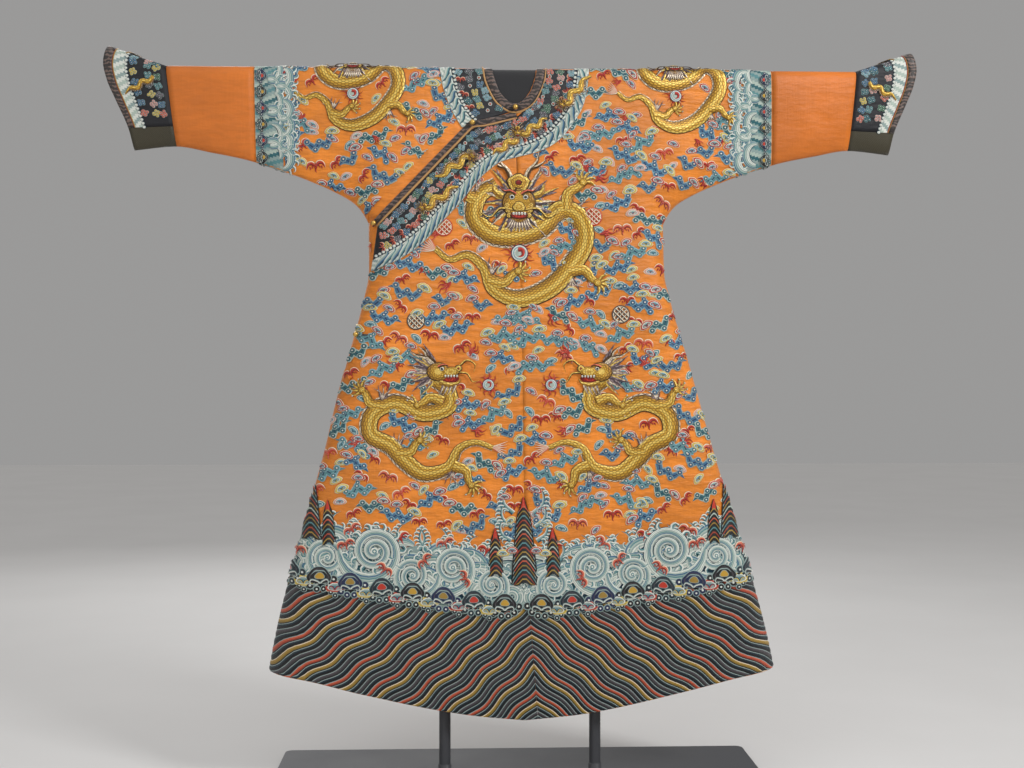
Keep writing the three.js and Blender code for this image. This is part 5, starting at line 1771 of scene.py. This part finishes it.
class ROBE_OT_clouds(bpy.types.Operator):
    """Embroiders the chains of cloud, the bats and the knot badges between the dragons."""

    bl_idname = "robe.clouds"
    bl_label = "Clouds and bats"

    def execute(self, context):
        sizes = context.scene.robe_sizes
        rng = np.random.default_rng(sizes.seed + 1)
        shapes = [cloud(count, bend, CLOUD_TONES[n % 4], ("yellow", "red", "pink")[n % 3], n % 2 == 0)
                  for n, (count, bend) in enumerate([(5, 0), (4, 7), (6, -9), (5, 9), (4, -6), (6, 6),
                                                     (5, -11), (3, 0)])]
        bats = [bat("crimson", "flame"), bat("crimson", "coral"), bat("flame", "coral")]
        for side in ("front", "back"):
            work = Work()
            blocked = np.vstack([dragon_cover(side == "back"), [(x, v) for x, v, _ in BADGES]])
            for x, v, ink in BADGES:
                work.put(knot_badge(ink, "cream"), x, v, 0, 1.25, rise=1.4)
            for sign in (1, -1):
                room = ((14, 506), (560, 1577)) if sign > 0 else ((-506, -14), (560, 1577))
                spots = scatter(16000, room, blocked, 36, sizes.spacing / MM, rng, side == "back")
                spots = spots[spots[:, 1] > waterline(spots[:, 0]) + 158]
                for n, (x, v) in enumerate(spots):
                    if n % 7 == 3:
                        work.put(bats[n % 3], x, v, rng.uniform(-40, 40), 0.95, rise=0.1)
                    else:
                        work.put(shapes[rng.integers(len(shapes))], x, v, rng.uniform(-34, 34),
                                 rng.uniform(0.92, 1.04), int(rng.choice([-1, 1])), 0.25 * (n % 3))
                small = scatter(6000, room, np.vstack([blocked, spots]), 29, 34, rng, side == "back",
                                (1.1, 1.0))
                small = small[small[:, 1] > waterline(small[:, 0]) + 150]
                for n, (x, v) in enumerate(small):
                    if n % 3 == 0:
                        work.put(bats[n % 3], x, v, rng.uniform(-60, 60), 0.8)
                    else:
                        work.put(petal_head(("yellow", "red", "pink", "sea")[n % 4]), x, v,
                                 rng.uniform(-50, 50), 0.9)
            embroider(f"clouds_{side}", work, back=side == "back")
        return {"FINISHED"}


def band_cloth(x, v, back=False):
    """Where a sleeve's band may lie: inside the seam, above the sleeve's lower edge."""
    z = np.minimum(v, 2 * fold_v(x) - v)
    return (np.abs(x) < SLEEVE_SEAM - 0.5) & ~beyond_edge(x, z + 0.5)


def puffs(places, turns, rng):
    """Small pastel clouds, bats and rings for the bands."""
    work = Work()
    inks = ("blue", "sea", "coral", "sky", "green", "blue", "yellow", "teal", "plum", "pink")
    for n, ((x, v), turn) in enumerate(zip(places, turns)):
        if n % 6 == 5:
            work.put(bat("crimson", "coral"), x, v, turn, 0.5)
        elif n % 4 == 3:
            work.put(disc(4.2, 4.2, ("foam", "black", "coral"), (0.2, 0.9, 1.1), (1, 0.66, 0.4), 8), x, v)
        else:
            ink = inks[int(rng.integers(len(inks)))]
            for k in range(4):
                work.put(disc(5.0, 3.9, ("mist", ink, "navy", "foam"), (0.2, 1.0, 1.2, 1.4),
                              (1, 0.84, 0.40, 0.22), 8),
                         x + 5.4 * math.cos(k * 1.7 + turn), v + 4.4 * math.sin(k * 1.7 + turn), turn,
                         rise=0.15 * k)
    return work


def border_waves(x, v, inks=("celadon", "foam", "mist", "foam")):
    """A band of slanting wave stitches over a grid of chart points whose rows run along the band."""
    rows, columns = x.shape
    k = np.arange(rows - 1)[:, None] + np.arange(columns - 1)[None, :]
    colours = np.array([INK[c] for c in inks], float)[(k // 2) % len(inks)].reshape(-1, 3)
    rise = 0.35 + 0.5 * (np.add.outer(np.arange(rows), np.arange(columns)) % 2)
    points = np.stack([x, v, rise], 2).reshape(-1, 3)
    return Work().add(points, grid_faces(rows, columns), colours, np.stack([x, v], 2).reshape(-1, 2))


def crests(x, v, every=2):
    """White foam beads along a line of chart points."""
    work = Work()
    for px, pv in zip(x[::every], v[::every]):
        work.put(disc(4.6, 4.0, ("deep", "foam", "foam"), (0.4, 1.3, 1.6), (1, 0.74, 0.35), 8), float(px),
                 float(pv))
    return work


BLADE_INKS = (("deep", "sea", "celadon", "foam", "mist"), ("deep", "blue", "mist", "celadon", "foam"))
BLADE_COLUMNS, BLADE_RISES = (-1, -0.55, -0.1, 0.35, 0.75, 1), (0.2, 1.4, 1.9, 1.8, 1.3, 0.2)
LITTLE_BODY = [(0, 0), (14, -9), (30, -2), (44, -14), (62, -8), (78, -18)]
NECK_BODY = [(4, -6), (17, -13), (31, -3), (46, -13), (60, -4), (72, -9)]
LITTLE_DRAGONS = ((102, 1486, 58), (-96, 1372, 222), (-205, 1258, 44))
NECK_DRAGON = (4, 1424)


def collar_floss(rows, side, count, rng):
    """One part of the collar band: slanting blades of water along its outer edge, foam beside them, and
    small clouds over the rest."""
    x, v = band_grid(rows, side, count, 41)
    work = border_waves(x[:, 30:41], v[:, 30:41])
    for n, k in enumerate(range(7, count - 2, 4)):
        places = ((k, 40), (k - 2, 36), (k - 6, 32), (k - 6, 29))
        blade = curve([(x[place], v[place]) for place in places], 14)
        width = 5.6 * np.sin(np.linspace(0.25, math.pi - 0.3, 14))
        work.put(ribbon(blade, width, BLADE_COLUMNS, BLADE_RISES, BLADE_INKS[n % 2]),
                 rise=0.6 + 0.25 * (n % 2))
    work.put(crests(x[1:-1, 28], v[1:-1, 28]))
    places, turns = [], []
    for k in range(3, count - 3, 3 if count > 40 else 4):
        for column in (5 + k % 3, 13 + (k // 3) % 4, 23 + (k // 2) % 3):
            places.append((x[k, column], v[k, column]))
            turns.append(float(rng.uniform(0, 360)))
    return work.put(puffs(places, turns, rng))


def collar_dragons():
    """The small dragons of the collar: one from in front below the neck, with two bodies, and three more."""
    work = Work().put(front_head(), *NECK_DRAGON, 0, 0.36, rise=1.6)
    for flip in (1, -1):
        work.put(body(NECK_BODY, 6.2, 2.0), *NECK_DRAGON, 34, 1.0, flip, rise=0.8)
    for x, v, turn in LITTLE_DRAGONS:
        work.put(body(LITTLE_BODY, 6.0, 2.2), x, v, turn, 1.15, rise=1.2)
        work.put(front_head(), x, v, turn - 90, 0.30, rise=2.4)
    return work


def cuff_needlework(sign, rng):
    """A cuff's silk, a band of waves along the border and small clouds, and its gold, a small dragon."""
    work, gold = Work(), Work()
    for side in ("front", "back"):
        x, v = (a.T for a in np.broadcast_arrays(*cuff_grid(sign, side, 0.64, 0.85)))
        x, v = np.array([curve(np.stack([a, b], 1), 44) for a, b in zip(x, v)]).transpose(2, 1, 0)
        work.put(border_waves(x, v))
        work.put(crests(x[:, 0], v[:, 0]))
        cord = np.stack([x[:, -1], v[:, -1]], 1)
        work.put(ribbon(cord, 1.7, (-1, 0, 1), (0.2, 1.7, 0.2), ("old_gold", "crimson")), rise=0.6)
        x, v = np.broadcast_arrays(*cuff_grid(sign, side, 0.06, 0.58))
        for k in range(3, x.shape[0] - 4, 2):
            for column in (1 + k % 2, 5, 9 + k % 2):
                work.put(puffs([(x[k, column], v[k, column])], [float(rng.uniform(0, 360))], rng))
        v = float(chart_v(np.array(sign * 782.0), np.array(1545.0), side))
        gold.put(body(LITTLE_BODY, 5.4, 1.8), sign * 782, v, -20 * sign, 0.9, sign, rise=0.8)
    return work, gold


def sleeve_band(sign, rng):
    """The band round a sleeve: a ground of waves, two columns of surges and one of heads along the seam."""
    work = Work()
    for side in ("front", "back"):
        x = sign * np.linspace(*SLEEVE_BAND, 9)[None, :]
        low = chart_v(x, underarm_z(x), side)
        v = low + (fold_v(x) - low) * np.linspace(0, 1, 60)[:, None]
        work.put(border_waves(x + 0 * v, v, ("celadon", "mist", "sea", "mist", "teal")))
        for column, at, width in ((0, 506, 11), (1, 528, 10)):
            for k in range(4 + 4 * column, 58, 9):
                wave = surge(rng.uniform(17, 22), rng.uniform(150, 200), width)
                turn = 90 * sign + rng.uniform(-20, 20)
                work.put(wave, sign * at, float(v[k, 4]), turn, 1.0, (1, -1)[k % 2], 1.0 - 0.5 * column)
        for n, k in enumerate(range(5, 58, 9)):
            head = water_head(("gold", "flame")[n % 2], ("black", "navy")[n % 2])
            work.put(head, sign * 549, float(v[k, 4]), 90 * sign, 0.56, rise=1.6)
    return work


class ROBE_OT_trimwork(bpy.types.Operator):
    """Embroiders the collar, the cuffs and the bands round the sleeves."""

    bl_idname = "robe.trimwork"
    bl_label = "Collar and cuff needlework"

    def execute(self, context):
        rng = np.random.default_rng(context.scene.robe_sizes.seed + 5)
        on_cuff = {"keep": everywhere, "lifted": False}
        for name, rows, side, count in (("collar_left", COLLAR_LEFT, "front", 150),
                                        ("collar_right", COLLAR_RIGHT, "front", 34),
                                        ("collar_back_left", COLLAR_BACK, "back", 46),
                                        ("collar_back_right", COLLAR_BACK_RIGHT, "back", 46)):
            embroider(f"{name}_floss", collar_floss(rows, side, count, rng), keep=everywhere, base=BAND_RISE,
                      lifted=name == "collar_left")
        embroider("collar_dragons", collar_dragons(), "couched", "gilt_thread", keep=everywhere,
                  base=BAND_RISE, lifted=True)
        for name, sign in (("left", 1), ("right", -1)):
            work, gold = cuff_needlework(sign, rng)
            embroider(f"cuff_{name}_floss", work, **on_cuff)
            embroider(f"cuff_{name}_gold", gold, "couched", "gilt_thread", **on_cuff)
            embroider(f"sleeve_band_{name}", sleeve_band(sign, rng), keep=band_cloth, lifted=False)
        return {"FINISHED"}


def tube(path, radius, sides=8, closed=False):
    """A tube of round section carried along a path in space: points and quads; open ends draw in to a tip."""
    path = np.asarray(path, float)
    count = len(path)
    ahead = (np.roll(path, -1, 0) - np.roll(path, 1, 0)) if closed else np.gradient(path, axis=0)
    ahead /= np.linalg.norm(ahead, axis=1, keepdims=True)
    up = np.cross(ahead, (0.03, 1.0, 0.02))
    up /= np.linalg.norm(up, axis=1, keepdims=True)
    side = np.cross(ahead, up)
    turn = 2 * math.pi * np.arange(sides) / sides
    size = np.full(count, float(radius))
    if not closed:
        size[[0, -1]] = radius * 0.12
    ring = up[:, None] * np.cos(turn)[None, :, None] + side[:, None] * np.sin(turn)[None, :, None]
    points = (path[:, None] + ring * size[:, None, None]).reshape(-1, 3)
    faces = ring_faces(count, sides, closed)
    return points, faces[:, ::-1], ring.reshape(-1, 3)


BALL_RADIUS = 6.0
LOOP_HALF = (13.6, 1.15)  # the cord's middle line, along and across the loop
LOOP_SEAT = 2.8  # the height of its middle above the cloth's surface
OVER_BAND = 1.8  # added where it lies on the collar band


def node_middle(name):
    """The middle of a node's box, in millimetres."""
    low, high = (np.array(corner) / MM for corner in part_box(name))
    return (low + high) / 2


def ball(name):
    """A ball button: a sphere with eight faint gores about the axis square to the cloth."""
    polar = np.linspace(0, math.pi, 17)[:, None]
    around = np.linspace(0, 2 * math.pi, 33)[None, :-1]
    radius = BALL_RADIUS * (1 + 0.022 * np.cos(8 * around) * np.sin(polar) ** 2)
    out = np.stack([radius * np.sin(polar) * np.cos(around), -radius * np.cos(polar) + 0 * around,
                    radius * np.sin(polar) * np.sin(around)], 2)
    points = (out + node_middle(f"button_{name}")).reshape(-1, 3)
    faces = facing_out(points, ring_faces(17, 32), out.reshape(-1, 3))
    piece = new_object(f"ball_{name}", points * MM, faces, finish("gilt"))
    weld(piece, FINE_WELD)
    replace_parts(piece, f"button_{name}")


def loop_cord(name, turn):
    """A button's loop: a cord round a long flat oval that follows the cloth's surface."""
    middle = node_middle(f"loop_{name}")
    cos, sin = math.cos(math.radians(turn)), math.sin(math.radians(turn))
    t = np.linspace(0, 2 * math.pi, 61)[:-1]
    along = LOOP_HALF[0] * np.sign(np.cos(t)) * np.abs(np.cos(t)) ** 0.45
    across = LOOP_HALF[1] * np.sin(t)
    x = middle[0] + along * cos - across * sin
    z = middle[2] + along * sin + across * cos
    x = x - (LEAN[0] + (LEAN[1] - LEAN[0]) * (SHOULDER - z) / (SHOULDER - HEM[0][1]))
    at, _ = raised(x, z, LOOP_SEAT + (OVER_BAND if name != "side" else 0.0), True)
    points, faces, ring = tube(at / MM, 0.95, 8, True)
    piece = new_object(f"cord_{name}", points * MM, facing_out(points, faces, ring), finish("cord"))
    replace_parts(piece, f"loop_{name}")


def waist_knot():
    """A trefoil knot of cloth cord: (sin t + 2 sin 2t, cos t - 2 cos 2t) with a depth of -sin 3t."""
    t = np.linspace(0, 2 * math.pi, 97)[:-1]
    path = np.stack([4.1 * (np.sin(t) + 2 * np.sin(2 * t)) / 3, -1.9 * np.sin(3 * t),
                     3.4 * (np.cos(t) - 2 * np.cos(2 * t)) / 3], 1) + node_middle("knot_waist")
    points, faces, ring = tube(path, 1.5, 10, True)
    faces = facing_out(points, faces, ring)
    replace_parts(new_object("waist_knot", points * MM, faces, finish("satin")), "knot_waist")


def neck_piping(side, outer):
    """A rounded strip along the outer line of the neck band, beside it."""
    line = curve(outer, 20)
    line = np.vstack([line[::-1] * (-1, 1), line[1:]])
    away = np.stack([np.gradient(line[:, 1]), -np.gradient(line[:, 0])], 1)
    away /= np.linalg.norm(away, axis=1, keepdims=True)
    away *= np.sign((away * (line - (0, SHOULDER))).sum(1, keepdims=True) + 1e-9)
    s = np.linspace(0.6, 4.6, 5)[None, :]
    x = line[:, :1] + away[:, :1] * s
    z = np.minimum(line[:, 1:] + away[:, 1:] * s, SHOULDER)
    rise = BAND_RISE - 0.6 + swell(1.4, 5)
    at, out = raised(x, chart_v(x, z, side), rise + 0 * x, side == "front")
    points = at.reshape(-1, 3)
    faces = facing_out(points, grid_faces(*x.shape), out.reshape(-1, 3))
    new_object(f"neck_piping_{side}", points, faces, finish("piping"))


class ROBE_OT_fastenings(bpy.types.Operator):
    """Makes the ball buttons, their cord loops, the waist's knot and the piping round the neck."""

    bl_idname = "robe.fastenings"
    bl_label = "Buttons and piping"

    def execute(self, context):
        for name, turn in (("neck", 0), ("collar", 8), ("underarm", 46), ("side", 0)):
            ball(name)
            loop_cord(name, turn)
        waist_knot()
        neck_piping("front", BAND_FRONT)
        neck_piping("back", BAND_BACK)
        return {"FINISHED"}


def stand_form(name, start, end, bottom, material):
    """A closed smooth form inside the cloth, 0.4 mm clear of it: front, shoulder and back as one grid, closed
    by strips at both ends and below."""
    x = np.linspace(start, end, max(8, int(abs(end - start) / 14)))[None, :]
    level = np.full(x.shape, float(bottom))
    low, high = chart_v(x, level, "front"), chart_v(x, level, "back")
    turn = np.linspace(-1, 1, 61)[:, None]
    v = (low + high) / 2 + (high - low) / 2 * np.sign(turn) * np.abs(turn) ** 1.5
    x = x + 0 * v
    at, out = raised(x, v, -0.4, False)
    rows, columns = x.shape
    flat = at.reshape(-1, 3)
    faces = [facing_out(flat, grid_faces(rows, columns), out.reshape(-1, 3))]
    k = np.arange(rows // 2)
    for column, way in ((0, 1), (columns - 1, -1)):
        quad = np.stack([k * columns + column, (rows - 1 - k) * columns + column,
                         (rows - 2 - k) * columns + column, (k + 1) * columns + column], 1)
        faces.append(quad[:, ::way])
    n = np.arange(columns - 1)
    faces.append(np.stack([n, n + 1, (rows - 1) * columns + n + 1, (rows - 1) * columns + n], 1)[:, ::-1])
    piece = new_object(f"{name}_cover", flat, np.vstack(faces), material)
    weld(piece, FINE_WELD, outwards=True)
    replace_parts(piece, name)


def turned(profile, sides=56):
    """A closed turned piece from (radius, height) pairs, the first and last on the axis."""
    rows = np.array(profile, float)
    turn = 2 * math.pi * np.arange(sides)[None, :] / sides
    points = np.stack([rows[:, :1] * np.cos(turn), rows[:, :1] * np.sin(turn), rows[:, 1:] + 0 * turn], 2)
    return points.reshape(-1, 3), ring_faces(len(rows), sides)


# One post from the plate up, as radius and height: foot, lower collar, tube, upper collar.
POST = [(0, 8.3), (25.2, 8.3), (26, 9.1), (26, 13.2), (25.2, 14), (15.2, 14.4), (14.4, 15.2), (14.4, 44.2),
        (13.6, 45), (12.6, 45.2), (12.5, 46), (12.5, 700), (12.5, 1118), (12.6, 1119), (14.2, 1119.4),
        (15, 1120.2), (15, 1148.9), (14.2, 1149.7), (0, 1149.7)]
POST_X = 165
PLATE = (1.090, 0.530, 0.008)  # metres
PLATE_CORNER, PLATE_RIM = 0.018, 0.0011
BODY_FORM = (232, 1150)  # half width and lowest height
ARM_FORM = (232.3, 735, 1534)  # from x to x, and lowest height


def base_plate():
    """The plate: a box with rounded corners and a fine round along its edges."""
    mesh = bpy.data.meshes.new("base_plate_steel")
    work = bmesh.new()
    bmesh.ops.create_cube(work, size=1)
    wide, deep, high = PLATE
    for vert in work.verts:
        vert.co = (vert.co.x * wide, vert.co.y * deep, high / 2 + vert.co.z * high)
    upright = [e for e in work.edges if abs(e.verts[0].co.z - e.verts[1].co.z) > high / 2]
    rounded = {"offset_type": "OFFSET", "profile": 0.5, "affect": "EDGES"}
    bmesh.ops.bevel(work, geom=upright, offset=PLATE_CORNER, segments=8, **rounded)
    rim = [e for e in work.edges if e.is_manifold and e.calc_face_angle() > 1.2]
    bmesh.ops.bevel(work, geom=rim, offset=PLATE_RIM, segments=3, **rounded)
    work.to_mesh(mesh)
    work.free()
    return add_piece("base_plate_steel", mesh, finish("paint"))


class ROBE_OT_stand(bpy.types.Operator):
    """Makes the limbless form and its arms, the two posts with their collars, and the base plate."""

    bl_idname = "robe.stand"
    bl_label = "Form and stand"

    def execute(self, context):
        stand_form("form_body", -BODY_FORM[0], BODY_FORM[0], BODY_FORM[1], finish("form"))
        near, far, bottom = ARM_FORM
        for name, sign in (("left", 1), ("right", -1)):
            stand_form(f"form_arm_{name}", sign * near, sign * far, bottom, finish("form"))
        for name, sign in (("left", 1), ("right", -1)):
            points, faces = turned(POST)
            points[:, 0] += sign * POST_X
            piece = new_object(f"post_{name}_tube", points * MM, faces, finish("paint"))
            weld(piece, FINE_WELD, outwards=True)
            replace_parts(piece, f"post_{name}")
        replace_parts(base_plate(), "base_plate")
        return {"FINISHED"}


class ROBE_PT_panel(bpy.types.Panel):
    """The robe's settings and the steps that build it."""

    bl_idname = "ROBE_PT_panel"
    bl_label = "Dragon robe"
    bl_space_type = "VIEW_3D"
    bl_region_type = "UI"
    bl_category = "Robe"

    def draw(self, context):
        for group in (context.scene.robe_sizes, context.scene.robe_colours):
            for name in group.bl_rna.properties.keys():
                if name not in ("rna_type", "name"):
                    self.layout.prop(group, name)
        for step in STEPS:
            self.layout.operator(step.bl_idname)


STEPS = (ROBE_OT_stage, ROBE_OT_body, ROBE_OT_sleeves, ROBE_OT_collar, ROBE_OT_fastenings, ROBE_OT_stand,
         ROBE_OT_hem, ROBE_OT_dragons, ROBE_OT_clouds, ROBE_OT_trimwork)
CLASSES = (RobeSizes, RobeColours, *STEPS, ROBE_PT_panel)


def register():
    for cls in CLASSES:
        bpy.utils.register_class(cls)
    bpy.types.Scene.robe_sizes = PointerProperty(type=RobeSizes)
    bpy.types.Scene.robe_colours = PointerProperty(type=RobeColours)


def unregister():
    del bpy.types.Scene.robe_colours
    del bpy.types.Scene.robe_sizes
    for cls in reversed(CLASSES):
        bpy.utils.unregister_class(cls)


def main():
    register()
    for step in STEPS:
        family, name = step.bl_idname.split(".")
        getattr(getattr(bpy.ops, family), name)()


if __name__ == "__main__":
    main()
